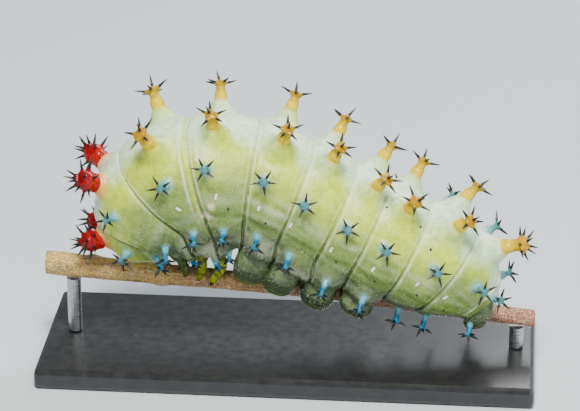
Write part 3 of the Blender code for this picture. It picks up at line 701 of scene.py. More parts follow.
# The colours: pale mint on the back, lime below it, sage and grey sage on the lower flank and belly (partly
# their own colour, partly painted shade), a halo round each tubercle with painted light on the yellow and
# gold cones, paler or darker lines along the streaks, painted shade in the suture creases and clefts, and
# pale lines with painted highlight along the fold edges.
MINT, PALE_LIME, LIME = dye(208, 236, 204), dye(194, 214, 60), dye(194, 214, 0)
SAGE, GREY_SAGE, OLIVE = dye(120, 144, 60), dye(72, 86, 54), dye(96, 118, 30)
CLEFT_SHADE, CREAM, SCAR = dye(58, 70, 40), dye(240, 242, 222), dye(236, 222, 186)
# Halo round each kind of tubercle: colour, strength, and the reaches in millimetres where it is full and
# where it has faded. The yellow and gold halos on the cones are also painted light where the crowns shade
# them.
HALOS_AND_PAINTED_LIGHT = {
    "yellow": (dye(214, 192, 0), 0.8, 0.8, 1.7), "gold": (dye(214, 192, 0), 0.7, 1.1, 2.1),
    "red": (dye(238, 140, 60), 0.85, 1.5, 3.0), "blue": (dye(140, 194, 200), 0.6, 0.55, 1.65),
    "slim": (dye(140, 194, 200), 0.6, 0.375, 1.125), "small": (dye(140, 194, 200), 0.6, 0.3, 0.9),
}
FLUSH_ANGLES = (14.43, 28.43)
WARMTH = (0.5, 0.75, 0.95, 1.0, 0.5, 0.55, 0.6, 0.65, 0.75, 0.85, 1.0, 0.8, 0.5)
# Degrees by which the sage, with its painted shade, reaches higher up the low flank of these segments.
SHADE_SHIFTS = {"metathorax": 6, "abdomen_1": 14, "abdomen_2": 4, "abdomen_7": 4, "abdomen_8": 26, "abdomen_9": 28}
owner_of = segment_of.astype(int)
warm = np.array(WARMTH)[owner_of]
shade_shift = np.array([SHADE_SHIFTS.get(name, 0) for name in NAMES])[owner_of]
tongue = line_at(share_of, 0.58, 0.28)
leaning = from_back + 9 * broad + 4 * rumple
lime = coated(PALE_LIME, (LIME, np.clip(warm * (0.2 + 0.8 * tongue) + 0.3 * broad, 0, 1)))
# From the back to the belly: mint, lime, sage, grey sage. The darkening below is partly the skin's own
# colour, partly painted shade.
skin_tint = coated(
    MINT, (lime, smooth(8, 42, leaning - (26 - 16 * warm) * (1 - tongue))),
    (SAGE, smooth(50, 94, leaning + shade_shift - 16 * (warm - 0.7))), (GREY_SAGE, smooth(98, 140, leaning)),
)
for knob, reach in zip(knobs, knob_distance):
    reach = reach / (knob.size * MM)
    if knob.kind == "yellow":
        flush = line_at(reach, 0, 3.3) * smooth(*FLUSH_ANGLES, from_back) * smooth(0.9, 2.2, reach)
        skin_tint = coated(skin_tint, (LIME, 0.55 * flush))
    colour, strength, full, faded = HALOS_AND_PAINTED_LIGHT[knob.kind]
    skin_tint = coated(skin_tint, (colour, strength * (1 - smooth(full, faded, reach))))
on_flank = smooth(45, 90, from_back)
front_suture = np.abs(segment_of + share_of - 2) < 0.5
# Painted shade along every suture crease, stronger on the flank, with a wider band of painted shade at the
# suture between the second and third thoracic segments.
crease_shade = line_at(to_suture, 0, 0.16 * MM) * (0.12 + 0.15 * smooth(40, 90, from_back))
crease_shade += line_at(after_suture, -0.25 * MM, 0.35 * MM) * front_suture * smooth(40, 70, from_back)
# Pale lines on each segment's lapping edge, beside it and on the ridge at the open suture: partly pale skin,
# partly painted highlight on the fold ridges.
pale_edge_and_highlight = line_at(after_suture, 0.45 * MM, 0.20 * MM) * (0.7 + 0.6 * rumple)
pale_edge_and_highlight += line_at(after_suture, -0.50 * MM, 0.16 * MM) * (0.3 + 0.6 * rumple)
pale_edge_and_highlight += line_at(after_suture, -1.5 * MM, 0.20 * MM) * at_open_suture
pale_edge_and_highlight *= (1 - 0.7 * smooth(85, 115, from_back)) * (1 - 0.8 * front_suture)
skin_tint = coated(
    skin_tint, (CREAM, 0.30 * np.clip(upright, 0, 1) * on_flank),
    (OLIVE, 0.40 * np.clip(-upright, 0, 1) * on_flank),
    # painted shade in the sutures low on the flank, between the prolegs
    (CLEFT_SHADE, 0.7 * line_at(to_suture, 0, 0.17 * MM) * smooth(100, 135, from_back)),
    (LIME, 0.5 * line_at(after_suture, -0.55 * MM, 0.60 * MM) * at_open_suture),
    (OLIVE, np.clip(crease_shade, 0, 1)), (CREAM, np.clip(pale_edge_and_highlight, 0, 1) * 0.55),
)

# Three healed scars on the left side, near the front of the second abdominal segment.
SCARS = ((0.08, 106, 1.2), (0.25, 97, 0.7), (0.15, 52, 0.7))
for share, angle, size in SCARS:
    heart = np.array(skin_point(NAMES.index("abdomen_2"), share, angle))
    reach = np.linalg.norm(skin - heart, axis=2) / (size * MM)
    healed = 1 - smooth(0.6, 1.0, reach + 0.45 * fine + 0.3 * rumple)
    skin_tint = coated(skin_tint, (SCAR, 0.85 * healed))


def pebbled(tree, size):
    """A pattern of round cells of about this size."""
    place = add_node(tree, "TexCoord").outputs["Object"]
    return add_node(tree, "TexVoronoi", {"Vector": place, "Scale": 1 / size}).outputs["Distance"]


skin_finish, tree, shader = new_finish(
    "larva_skin", roughness=0.42, subsurface_weight=0.30, subsurface_scale=1.6 * MM, coat_weight=0.12,
    coat_roughness=0.25,
)
shader.inputs["Subsurface Radius"].default_value = (1.0, 0.9, 0.45)
mottle = cloud(tree, 0.0011, 5)
pebble = pebbled(tree, 0.00034)
patches = ramp(tree, mottle, (0.36, grey(0.30)), (0.55, grey(0)))
dots = ramp(tree, pebble, (0.10, grey(0.42)), (0.26, grey(0)))
shaded = blend_colours(tree, patches, own_tint(tree), srgb(150, 170, 74), "MULTIPLY")
shaded = blend_colours(tree, dots, shaded, srgb(244, 246, 226))
base_colour(tree, shader, shaded)
roughness_over(tree, shader, mottle, 0.34, 0.50)
bump(tree, shader, (mottle, 0.10 * MM), (pebble, 0.05 * MM), (cloud(tree, 0.00022, 3), 0.02 * MM))
skin_points = [*skin.reshape(-1, 3), segment_frame(0, 0)[0], tail_centre + tail_run * TAIL_CAP]
piece_from(
    "body_skin", skin_points, tube_faces(len(rows), SKIN_COLUMNS), skin_finish, "skin", NAMES,
    np.vstack([skin_tint.reshape(-1, 4), SAGE, SAGE]),
)


# The tubercles.
# Hard glossy knobs on the body's cones: crimson on the thorax, golden along the back, blue on the flanks.
# Each is turned from one outline, flares at its crown, and has a small nub under every black spine.
KNOB_RINGS = 34
KNOB_SIDES = 40
Outline = namedtuple("Outline", "turned tiers nub_radius nub_height spine")
OUTLINES = {
    "red": Outline(
        ((1.60, -0.6), (1.58, 0.2), (1.74, 1.0), (1.66, 1.8), (1.30, 2.5), (0.72, 2.95), (0.0, 3.1)),
        ((6, 84, 0.95), (5, 58, 1.7), (3, 22, 2.2)), 0.50, 0.50, 1.9,
    ),
    "yellow": Outline(
        ((1.02, -0.6), (1.04, 0.2), (1.04, 0.6), (0.90, 1.05), (0.74, 1.5), (0.80, 1.95), (1.00, 2.3),
         (0.92, 2.6), (0.50, 2.8), (0.0, 2.85)),
        ((5, 74, 2.2), (1, 12, 2.2)), 0.46, 0.42, 1.66,
    ),
    "gold": Outline(
        ((1.30, -0.6), (1.20, 0.2), (1.06, 0.9), (1.02, 1.5), (1.16, 2.1), (1.34, 2.6), (1.20, 3.1),
         (0.66, 3.42), (0.0, 3.5)),
        ((6, 82, 2.25), (4, 44, 2.6)), 0.50, 0.46, 1.66,
    ),
    "blue": Outline(
        ((0.80, -0.5), (0.76, 0.1), (0.76, 0.45), (0.62, 0.8), (0.46, 1.2), (0.50, 1.55), (0.64, 1.85),
         (0.50, 2.1), (0.0, 2.2)),
        ((5, 72, 1.75),), 0.34, 0.34, 1.6,
    ),
    "slim": Outline(
        ((0.62, -0.5), (0.54, 0.2), (0.47, 0.8), (0.44, 1.3), (0.50, 1.8), (0.60, 2.1), (0.44, 2.35),
         (0.0, 2.45)),
        ((4, 76, 2.0), (1, 15, 2.0)), 0.32, 0.32, 1.35,
    ),
    "small": Outline(
        ((0.48, -0.4), (0.42, 0.2), (0.37, 0.6), (0.42, 1.0), (0.46, 1.2), (0.30, 1.4), (0.0, 1.45)),
        ((4, 74, 1.1),), 0.26, 0.24, 1.0,
    ),
}
# Foot, stem and crown colours of each kind. The yellow and gold feet are painted lighter than their own
# yellow: painted light where the crown shades them.
KNOB_PAINTS_WITH_LIT_FEET = {
    "red": (dye(168, 8, 4), dye(142, 0, 8), dye(118, 0, 6)),
    "yellow": (dye(226, 200, 0), dye(196, 164, 0), dye(162, 126, 0)),
    "gold": (dye(218, 188, 0), dye(198, 162, 0), dye(188, 146, 0)),
    "blue": (dye(128, 182, 180), dye(88, 144, 148), dye(78, 130, 138)),
    "slim": (dye(98, 164, 180), dye(14, 98, 138), dye(44, 120, 148)),
    "small": (dye(92, 156, 172), dye(14, 94, 132), dye(36, 112, 142)),
}
NUB_DARK = dye(52, 40, 22)
NUB_SINK = 0.06


def curve_through(stops, count):
    """Evenly counted points on a smooth curve through the stops."""
    stops = np.array(stops, dtype=float)
    padded = np.vstack([2 * stops[0] - stops[1], stops, 2 * stops[-1] - stops[-2]])
    made = []
    for index in range(count):
        place = index / (count - 1) * (len(stops) - 1)
        first = min(int(place), len(stops) - 2)
        t = place - first
        a, b, c, d = padded[first : first + 4]
        square, cube = 2 * a - 5 * b + 4 * c - d, 3 * b - a - 3 * c + d
        made.append(0.5 * (2 * b + (c - a) * t + square * t**2 + cube * t**3))
    return np.array(made)


def square_axes(aim):
    """Three square directions, the last of them along the aim, as the columns of an array."""
    return np.array(Vector(aim).to_track_quat("Z", "Y").to_matrix())


def knob_shape(outline, draw):
    """One tubercle standing on the origin along +Z, with its spines' roots and directions."""
    profile = curve_through(outline.turned, KNOB_RINGS)
    profile[:, 0] = np.maximum(profile[:, 0], 0.02)
    turns = 2 * math.pi * np.arange(KNOB_SIDES) / KNOB_SIDES
    places = np.stack([
        profile[:, :1] * np.cos(turns), profile[:, :1] * np.sin(turns), profile[:, 1:] + 0 * turns,
    ], axis=2)
    places *= 1 + 0.035 * np.sin(3 * turns + draw.uniform(0, 6))[None, :, None] * (1, 1, 0)
    spikes = []
    lifted = places.copy()
    for count, tip, height in outline.tiers:
        start = draw.uniform(0, 360)
        for index in range(count):
            turn = math.radians(start + 360 * index / count + draw.uniform(-12, 12))
            slope = math.radians(tip + draw.uniform(-7, 7))
            flat = math.sin(slope)
            aim = np.array((flat * math.cos(turn), flat * math.sin(turn), math.cos(slope)))
            away = places - (0, 0, height)
            facing = (away @ aim) / (np.linalg.norm(away, axis=2) + 1e-9)
            facing = np.where(places[..., 2] > 0.2, facing, -1)
            root = places[np.unravel_index(np.argmax(facing), facing.shape)]
            reach = np.linalg.norm(places - root, axis=2) / outline.nub_radius
            lifted += aim * (outline.nub_height * np.clip(1 - reach**2, 0, 1) ** 1.6)[..., None]
            spikes.append((root + aim * (outline.nub_height - NUB_SINK), aim))
    return lifted, spikes


SPINE_SPREAD = (0.86, 1.04)
spines = []
draw = random.Random(23)


def make_knobs(name, kinds, finish, slot, extra=()):
    """All tubercles of these kinds, in one piece."""
    points, faces, tints = [], [], []
    chosen = [knob for knob in knobs if knob.kind in kinds] + list(extra)
    for knob in chosen:
        outline = OUTLINES[knob.kind]
        shape, spikes = knob_shape(outline, draw)
        axes = square_axes(knob.aim)
        seat = np.array(knob.root + knob.aim * CONES[knob.kind][2] * knob.size)
        size = knob.size * MM
        placed = seat + (shape.reshape(-1, 3) @ axes.T) * size
        rings, sides = shape.shape[:2]
        faces += counted_on(tube_faces(rings, sides), len(points))
        points += [*placed, placed[0], seat + axes[:, 2] * outline.turned[-1][1] * size]
        low, high = outline.turned[1][1], outline.turned[-1][1]
        height = np.clip((shape[..., 2].reshape(-1) - low) / (high - low), 0, 1)
        # On the yellow and gold kinds the foot colour carries painted light.
        foot, stem, crown = KNOB_PAINTS_WITH_LIT_FEET[knob.kind]
        tint = coated(foot, (stem, smooth(0.10, 0.45, height)), (crown, smooth(0.55, 0.95, height)))
        for root, _ in spikes:
            near_spine = np.linalg.norm(shape.reshape(-1, 3) - root, axis=1)
            tint = coated(tint, (NUB_DARK, 0.85 * (1 - smooth(0.16, 0.42, near_spine))))
        tints += [*tint, foot, crown]
        for root, aim in spikes:
            place = seat + axes @ root * size
            length = outline.spine * size * draw.uniform(*SPINE_SPREAD)
            spines.append((Vector(place), Vector(axes @ aim), length))
    piece_from(name, points, faces, finish, slot, sorted({knob.segment for knob in chosen}), tints)


def gloss(name, depth, shade, glow):
    """A hard glossy coat in the piece's own tint, clouded with a darker shade and a little see-through."""
    finish, tree, shader = new_finish(
        name, roughness=0.42, coat_weight=0.40, coat_roughness=0.04, specular_ior_level=0.1,
        subsurface_weight=glow, subsurface_scale=0.8 * MM,
    )
    clouded = ramp(tree, cloud(tree, 0.0006, 4), (0.38, grey(0.55)), (0.58, grey(0)))
    shaded = blend_colours(tree, clouded, own_tint(tree), shade, "MULTIPLY")
    base_colour(tree, shader, shaded)
    roughness_over(tree, shader, cloud(tree, 0.0004, 3), 0.36, 0.50)
    bump(tree, shader, (cloud(tree, 0.00035, 4), depth))
    return finish


red_gloss = gloss("crimson_gloss", 0.05 * MM, srgb(150, 60, 60), 0.0)
golden_gloss = gloss("golden_gloss", 0.04 * MM, srgb(236, 200, 90), 0.0)
blue_gloss = gloss("blue_gloss", 0.04 * MM, srgb(160, 190, 190), 0.15)
make_knobs("tubercles_red", ("red",), red_gloss, "tubercle_red")
make_knobs("tubercles_golden", ("yellow", "gold"), golden_gloss, "tubercle_yellow")
make_knobs("tubercles_upper_blue", ("blue",), blue_gloss, "tubercle_blue")
tail_knobs = [
    Knob("slim", "anal_proleg_" + name, Vector((30.4, side * 4.4, 10.3)) * MM,
         Vector((-0.15, side * 0.7, -0.75)).normalized(), 1.0)
    for name, side in (("left", -1), ("right", 1))
]
make_knobs("tubercles_lower_blue", ("slim", "small"), blue_gloss, "tubercle_blue", tail_knobs)


# The spines.
# Stiff black hairs of hard shell, one on each nub of the tubercles, thick at the root, slightly bent
# and drawn out to a fine point. All of them are one joined piece.
SPINE_SIDES = 8
SPINE_OUTLINE = ((0.0, 0.28), (0.10, 0.225), (0.35, 0.175), (0.65, 0.115), (0.88, 0.055), (1.0, 0.006))


def side_ways(aim):
    """Two directions square to the aim and to each other."""
    first = aim.orthogonal().normalized()
    return first, aim.cross(first)


points, faces = [], []
for root, aim, length in spines:
    side_a, side_b = side_ways(aim)
    bend = side_a * length * draw.uniform(-0.05, 0.05)
    faces += counted_on(tube_faces(len(SPINE_OUTLINE), SPINE_SIDES), len(points))
    for share, radius in SPINE_OUTLINE:
        centre = root + aim * length * share + bend * share * share
        for side in range(SPINE_SIDES):
            turn = 2 * math.pi * side / SPINE_SIDES
            points.append(centre + (side_a * math.cos(turn) + side_b * math.sin(turn)) * radius * MM)
    points += [root, root + aim * length * 1.01 + bend]
spine_shell, tree, shader = new_finish("spine_shell", roughness=0.4, coat_weight=0.2, coat_roughness=0.1)
streak = cloud(tree, 0.00025, 4)
black = ramp(tree, streak, (0.35, srgb(3, 3, 4)), (0.75, srgb(16, 14, 13)))
base_colour(tree, shader, black)
roughness_over(tree, shader, streak, 0.34, 0.50)
bump(tree, shader, (cloud(tree, 0.0001, 2), 0.006 * MM))
piece_from("spines", points, faces, spine_shell, "spine", NAMES[1:-1])


# The breathing pores and dark specks.
# A pale oval pore with a thin orange-brown rim and a slit on each side of most segments, sunk in the skin,
# and the little black bristle seats behind and below it.
skin_along, skin_outward = surface_of(skin)
PORES = (
    ("abdomen_1", 0.55, 94, 40), ("abdomen_2", 0.40, 88, 0), ("abdomen_3", 0.30, 90, 0),
    ("abdomen_4", 0.12, 92, 0), ("abdomen_5", 0.22, 94, 0), ("abdomen_6", 0.38, 92, -5),
    ("abdomen_7", 0.40, 84, -12), ("abdomen_8", 0.18, 82, -25), ("prothorax", 0.45, 76, 0),
)
PORE_HALVES = (0.62 * MM, 0.27 * MM)
PORE_SIDES = 32
PORE_RINGS = (
    (1.16, -0.10, (150, 140, 60)), (1.06, 0.03, (150, 96, 20)), (0.98, 0.08, (164, 96, 16)),
    (0.90, 0.07, (170, 116, 40)), (0.84, 0.03, (236, 244, 230)), (0.55, 0.06, (232, 246, 234)),
    (0.28, 0.06, (214, 236, 214)), (0.12, 0.04, (170, 190, 160)),
)
SPECK_HALVES = (0.24 * MM, 0.16 * MM)
SPECK_SIDES = 12
SPECK_RINGS = (
    (1.3, -0.05, (96, 108, 52)), (1.0, 0.05, (26, 28, 22)), (0.6, 0.12, (26, 28, 22)),
    (0.2, 0.15, (50, 50, 46)),
)
SPECKS = (
    ("abdomen_2", 0.65, 98), ("abdomen_3", 0.55, 100), ("abdomen_5", 0.50, 106), ("abdomen_6", 0.57, 106),
    ("abdomen_7", 0.60, 98), ("abdomen_8", 0.45, 100), ("abdomen_6", 0.08, 32), ("abdomen_6", 0.90, 32),
    ("abdomen_7", 0.60, 4), ("abdomen_7", 0.28, 48),
)


def skin_spot(number, share, angle):
    """A point on the finished skin, with the outward, run and round-the-body directions there."""
    candidates = [row for row, owner in enumerate(row_segment) if owner == number]
    row = min(candidates, key=lambda row: abs(row_share[row] - share))
    column = round((angle % 360) / 360 * SKIN_COLUMNS) % SKIN_COLUMNS
    outward = Vector(skin_outward[row, column])
    run = Vector(skin_along[row, column]).normalized()
    return Vector(skin[row, column]), outward, run, outward.cross(run)


def button(place, outward, long_way, wide_way, rings, halves, sides):
    """The points, faces and colours of a small oval button from (size, height, colour) rings."""
    points = []
    for size, height, _ in rings:
        for side in range(sides):
            turn = 2 * math.pi * side / sides
            reach = long_way * halves[0] * math.cos(turn) + wide_way * halves[1] * math.sin(turn)
            points.append(place + reach * size + outward * height * MM)
    points += [place + outward * rings[end][1] * MM for end in (0, -1)]
    tints = [srgb(*colour) for _, _, colour in rings for _ in range(sides)]
    return points, tube_faces(len(rings), sides), tints + [srgb(*rings[end][2]) for end in (0, -1)]


def joined(name, parts, finish, slot, nodes):
    """One piece from several (points, faces, colours) groups."""
    points, faces, tints = [], [], []
    for part_points, part_faces, part_tints in parts:
        faces += counted_on(part_faces, len(points))
        points += part_points
        tints += part_tints
    piece_from(name, points, faces, finish, slot, nodes, tints)


pore_parts, speck_parts = [], []
for side in (1, -1):
    for segment, share, angle, slant in PORES:
        place, outward, run, round_way = skin_spot(NAMES.index(segment), share, side * angle)
        turn = Matrix.Rotation(math.radians(side * slant), 3, outward)
        ways = (turn @ round_way, turn @ run)
        pore_parts.append(button(place, outward, *ways, PORE_RINGS, PORE_HALVES, PORE_SIDES))
    for segment, share, angle in SPECKS:
        place, outward, run, round_way = skin_spot(NAMES.index(segment), share, side * angle)
        speck_parts.append(button(place, outward, round_way, run, SPECK_RINGS, SPECK_HALVES, SPECK_SIDES))
pore_gloss = gloss("pore_plate", 0.02 * MM, srgb(214, 206, 190), 0.0)
joined("breathing_pores", pore_parts, pore_gloss, "skin", ("prothorax",))
joined("bristle_seats", speck_parts, spine_shell, "spine", ("abdomen_2",))


# The prolegs.
# Soft fleshy feet in pairs under the third to sixth abdominal segments, and the two claspers at the tail.
# Each is a plump lobe pressed on the side of the twig, with a crease above its greener gripping pad.
PROLEG_ANGLE = 153
PROLEG_FOOT = {3: 2.6 * MM, 4: 1.3 * MM, 5: -0.3 * MM, 6: -0.8 * MM}
PROLEG_FORWARD = {3: 0.6 * MM, 4: 0.7 * MM, 5: 0.6 * MM, 6: 0.4 * MM}
ROOT_DEPTH = 3.2 * MM
ROOT_INSET = 1.8 * MM
BELLY_OUT = 1.1 * MM
FOOT_OUT = 1.4 * MM
FOOT_UP, FOOT_DOWN = 0.4 * MM, 1.5 * MM
PROLEG_SIZES = np.array(((1.7, 1.5), (2.6, 2.3), (2.95, 2.5), (2.7, 2.0), (1.9, 1.3))) * MM
FOOT_GAP = 0.12 * MM
LOBE_RINGS = 54
LOBE_SIDES = 64
LOBE_SQUARENESS = 2.3
PAD_SHARE = 0.70
ROUND_SHARE = 0.84
PAD_PAINTS = {"proleg_3": dye(132, 140, 20)}
PAD_PAINT, LOBE_TOP = dye(94, 112, 50), dye(92, 108, 66)
# The second colour here darkens the groove above the pad: painted shade.
LOBE_DUSKY, LOBE_GROOVE_SHADE = dye(74, 88, 56), dye(70, 84, 40)


def squared(values):
    """A rounded square's reach along one way, from the cosines or sines of its turns."""
    return np.sign(values) * np.abs(values) ** (2 / LOBE_SQUARENESS)


def foot_lobe(stages, run, out, node):
    """A plump lobe through (centre, width, depth) stages, rounded at its foot and kept off the twig."""
    centres = curve_through([tuple(stage[0]) for stage in stages], LOBE_RINGS)
    shares = np.linspace(0, 1, LOBE_RINGS)
    tip = (shares - ROUND_SHARE) / (1 - ROUND_SHARE)
    rounding = np.where(tip > 0, np.sqrt(np.clip(1 - tip**2, 0.0004, 1)), 1)[:, None]
    sizes = curve_through([(stage[1], stage[2]) for stage in stages], LOBE_RINGS) * rounding
    turns = 2 * math.pi * np.arange(LOBE_SIDES) / LOBE_SIDES
    spread = (
        np.array(run) * (squared(np.cos(turns)) * sizes[:, :1])[..., None]
        + np.array(out) * (squared(np.sin(turns)) * sizes[:, 1:])[..., None]
    )
    places = centres[:, None] + spread
    outward = spread / (np.linalg.norm(spread, axis=2, keepdims=True) + 1e-9)
    broad = noise_at(places, 1.8 * MM)
    fine = noise_at(places, 0.5 * MM)
    share = shares[:, None] + 0.10 * np.cos(turns)[None] ** 2 - 0.05
    groove = line_at(share, PAD_SHARE, 0.022) + 0.6 * line_at(share, 0.48 + 0.03 * broad, 0.02)
    ripples = np.sin(2 * math.pi * share * 9 + 2.5 * broad) * smooth(0.2, 0.5, share)
    relief = (0.10 * broad + 0.02 * fine - 0.22 * groove + 0.03 * ripples) * rounding * MM
    places = off_the_twig(places + outward * relief[..., None], FOOT_GAP)
    pad = PAD_PAINTS.get(node.rpartition("_")[0], PAD_PAINT)
    tint = coated(
        LOBE_TOP, (LOBE_DUSKY, smooth(0.25, 0.5, share + 0.1 * broad)),
        (pad, smooth(PAD_SHARE - 0.02, PAD_SHARE + 0.16, share + 0.06 * broad)),
        (LOBE_GROOVE_SHADE, 0.7 * np.clip(groove, 0, 1)),
    )
    piece_from(
        "foot_" + node, [*places.reshape(-1, 3), centres[0], places[-1].mean(axis=0)],
        tube_faces(LOBE_RINGS, LOBE_SIDES), proleg_finish, "proleg", (node,),
        np.vstack([tint.reshape(-1, 4), LOBE_TOP, pad]),
    )
    return places


proleg_finish, tree, shader = new_finish(
    "proleg_skin", roughness=0.45, subsurface_weight=0.22, subsurface_scale=1.0 * MM, coat_weight=0.1,
    coat_roughness=0.3,
)
shader.inputs["Subsurface Radius"].default_value = (1.0, 0.9, 0.4)
mottle = cloud(tree, 0.0009, 6)
pebble = pebbled(tree, 0.00028)
patches = ramp(tree, mottle, (0.38, grey(0.6)), (0.60, grey(0)))
dots = ramp(tree, pebble, (0.08, grey(0.5)), (0.24, grey(0)))
shaded = blend_colours(tree, patches, own_tint(tree), srgb(120, 140, 96), "MULTIPLY")
shaded = blend_colours(tree, dots, shaded, srgb(196, 204, 168))
base_colour(tree, shader, shaded)
roughness_over(tree, shader, mottle, 0.36, 0.55)
bump(tree, shader, (mottle, 0.12 * MM), (pebble, 0.05 * MM))

feet = []
for number, foot_height in PROLEG_FOOT.items():
    owner = NAMES.index("abdomen_%d" % number)
    for side_name, side in (("left", 1), ("right", -1)):
        _, run, back, left = segment_frame(owner, 0.5)
        root = skin_point(owner, 0.5, side * PROLEG_ANGLE)
        inner = root + back * ROOT_DEPTH - left * side * ROOT_INSET
        foot_x = root.x - back.x * (root.z - twig_centre(root.x).z) / back.z + PROLEG_FORWARD[number]
        beside = twig_radius(foot_x) + FOOT_OUT
        foot = twig_centre(foot_x) + Vector((0, -side * beside, foot_height))
        down = (foot - root).normalized()
        belly = root.lerp(foot, 0.5) + Vector((0, -side * BELLY_OUT, 0))
        places = (inner, root, belly, foot - down * FOOT_UP, foot + down * FOOT_DOWN)
        stages = [(place, *sizes) for place, sizes in zip(places, PROLEG_SIZES)]
        out = down.cross(run).normalized()
        node = "proleg_%d_%s" % (number, side_name)
        feet.append(foot_lobe(stages, run, out, node))
CLASPER_STAGES = (
    ((31.9, 2.3, 13.6), 2.1, 1.9), ((31.8, 2.9, 12.2), 2.2, 1.9), ((31.4, 3.5, 10.8), 2.1, 1.8),
    ((31.0, 3.3, 9.4), 1.8, 1.5), ((30.8, 2.9, 8.2), 1.2, 0.9),
)
for side_name, side in (("left", -1), ("right", 1)):
    stages = [
        (Vector((x, side * y, z)) * MM, width * MM, depth * MM) for (x, y, z), width, depth in CLASPER_STAGES
    ]
    feet.append(foot_lobe(stages, (1, 0, 0), (0, side, 0), "anal_proleg_" + side_name))


# The thoracic legs.
# Three pairs of short glossy legs of hard shell, each of four joints that narrow to a black hooked claw,
# reaching down to the sides of the twig.
LEG_ROUTES = {
    "leg_1": ((-19.0, 2.9, 20.3), (-17.9, 3.4, 19.2), (-17.0, 3.8, 17.6), (-17.2, 2.7, 15.4)),
    "leg_2": ((-17.2, 3.2, 22.3), (-14.9, 3.6, 20.6), (-14.2, 3.9, 18.4), (-15.1, 2.6, 14.6)),
    "leg_3": ((-14.6, 2.9, 23.2), (-12.0, 3.6, 21.4), (-11.0, 4.2, 18.8), (-13.1, 3.0, 14.0)),
}
LEG_RADII = (1.25, 1.12, 0.92, 0.70, 0.50, 0.22)
LEG_GIRTH = {"leg_1": 1.0, "leg_2": 1.15, "leg_3": 1.35}
# Upper and lower colour of each pair. The first and second pairs are painted darker olive than the legs' own
# yellow-green: painted shade under the thorax.
LEG_PAINTS_WITH_SHADE = {
    "leg_1": (dye(84, 98, 44), dye(74, 84, 26)),
    "leg_2": (dye(104, 118, 44), dye(124, 138, 14)),
    "leg_3": (dye(136, 152, 30), dye(144, 158, 10)),
}
LEG_JOINTS = (0.30, 0.52, 0.72)
JOINT_DARK = dye(50, 56, 22)
LEG_RINGS = 60
LEG_SIDES = 28
CLAW_SHARE = 0.86
CLAW_OVERLAP = 3
CLAW_BEND = 0.25 * MM
CLAW_SIDES = 16


def sleeve(centres, radii, sides):
    """The points and faces of a closed tube of these radii along a line of centres."""
    points = []
    side_a = None
    for centre, line, radius in zip(centres, np.gradient(centres, axis=0), radii):
        line = Vector(line).normalized()
        side_a = side_a or line.orthogonal()
        side_a = (side_a - line * side_a.dot(line)).normalized()
        side_b = line.cross(side_a)
        for side in range(sides):
            turn = 2 * math.pi * side / sides
            points.append(Vector(centre) + (side_a * math.cos(turn) + side_b * math.sin(turn)) * radius)
    return points + [Vector(centres[0]), Vector(centres[-1])], tube_faces(len(centres), sides)


leg_finish = gloss("leg_shell", 0.03 * MM, srgb(150, 160, 90), 0.2)
claw_parts = []
for number, route in LEG_ROUTES.items():
    for side_name, side in (("left", -1), ("right", 1)):
        hip, knee, shin, claw = [Vector((x, side * y, z)) * MM for x, y, z in route]
        bends = [hip, hip.lerp(knee, 0.6), knee, shin, shin.lerp(claw, 0.65), claw]
        centres = curve_through([tuple(bend) for bend in bends], LEG_RINGS)
        shares = np.linspace(0, 1, LEG_RINGS)
        radii = np.interp(shares, np.linspace(0, 1, len(LEG_RADII)), LEG_RADII) * LEG_GIRTH[number]
        for joint in LEG_JOINTS:
            radii *= 1 - 0.16 * np.exp(-(((shares - joint) / 0.018) ** 2))
            radii *= 1 + 0.07 * np.exp(-(((shares - joint + 0.05) / 0.03) ** 2))
        top, low = LEG_PAINTS_WITH_SHADE[number]
        dark = np.max([line_at(shares, joint, 0.014) for joint in LEG_JOINTS], axis=0)
        dark = 0.6 * dark + 0.8 * smooth(0.80, 0.86, shares)
        tint = coated(top, (low, smooth(0.2, 0.6, shares)), (JOINT_DARK, dark))
        last = int(CLAW_SHARE * LEG_RINGS)
        piece_from(
            "shell_%s_%s" % (number, side_name), *sleeve(centres[:last], radii[:last] * MM, LEG_SIDES),
            leg_finish, "leg", ("%s_%s" % (number, side_name),),
            [*np.repeat(tint[:last], LEG_SIDES, axis=0), top, low],
        )
        hook = centres[last - CLAW_OVERLAP :].copy()
        hook[:, 1] -= side * np.linspace(0, 1, len(hook)) ** 2 * CLAW_BEND
        hook_radii = np.linspace(radii[last - CLAW_OVERLAP] * 0.98, 0.03, len(hook)) * MM
        points, faces = sleeve(hook, hook_radii, CLAW_SIDES)
        claw_parts.append((points, faces, [grey(0.02)] * len(points)))
joined("claws", claw_parts, spine_shell, "spine", ("leg_1_left",))


# The head.
# A small round hard capsule tucked under the thorax, green and glossy, split by a seam down its brow and
# a three-cornered plate over the mouth, with upper lip, dark jaws, palps, six eye spots a side and feelers.
HEAD_CENTRE = Vector((-16.7, 0.0, 19.75)) * MM
HEAD_RADIUS = 2.5 * MM
HEAD_HEADING = -35
HEAD_COLUMNS = 96
HEAD_ROWS = 72
HEAD_FIT = 0.97
HEAD_GREEN, HEAD_DARK, HEAD_PALE = dye(136, 156, 66), dye(70, 84, 34), dye(176, 190, 96)
forward = direction(HEAD_HEADING)
crown_way = Vector((forward.z, 0, -forward.x))
side_way = Vector((0, 1, 0))


def head_spot(across, up, away=0.0):
    """A point of the head from its sideways and upward angles in degrees, seen from the face."""
    turn, rise = math.radians(across), math.radians(up)
    aim = forward * math.cos(turn) * math.cos(rise) + side_way * math.sin(turn) * math.cos(rise)
    aim = aim + crown_way * math.sin(rise)
    return HEAD_CENTRE + aim * (HEAD_RADIUS + away), aim


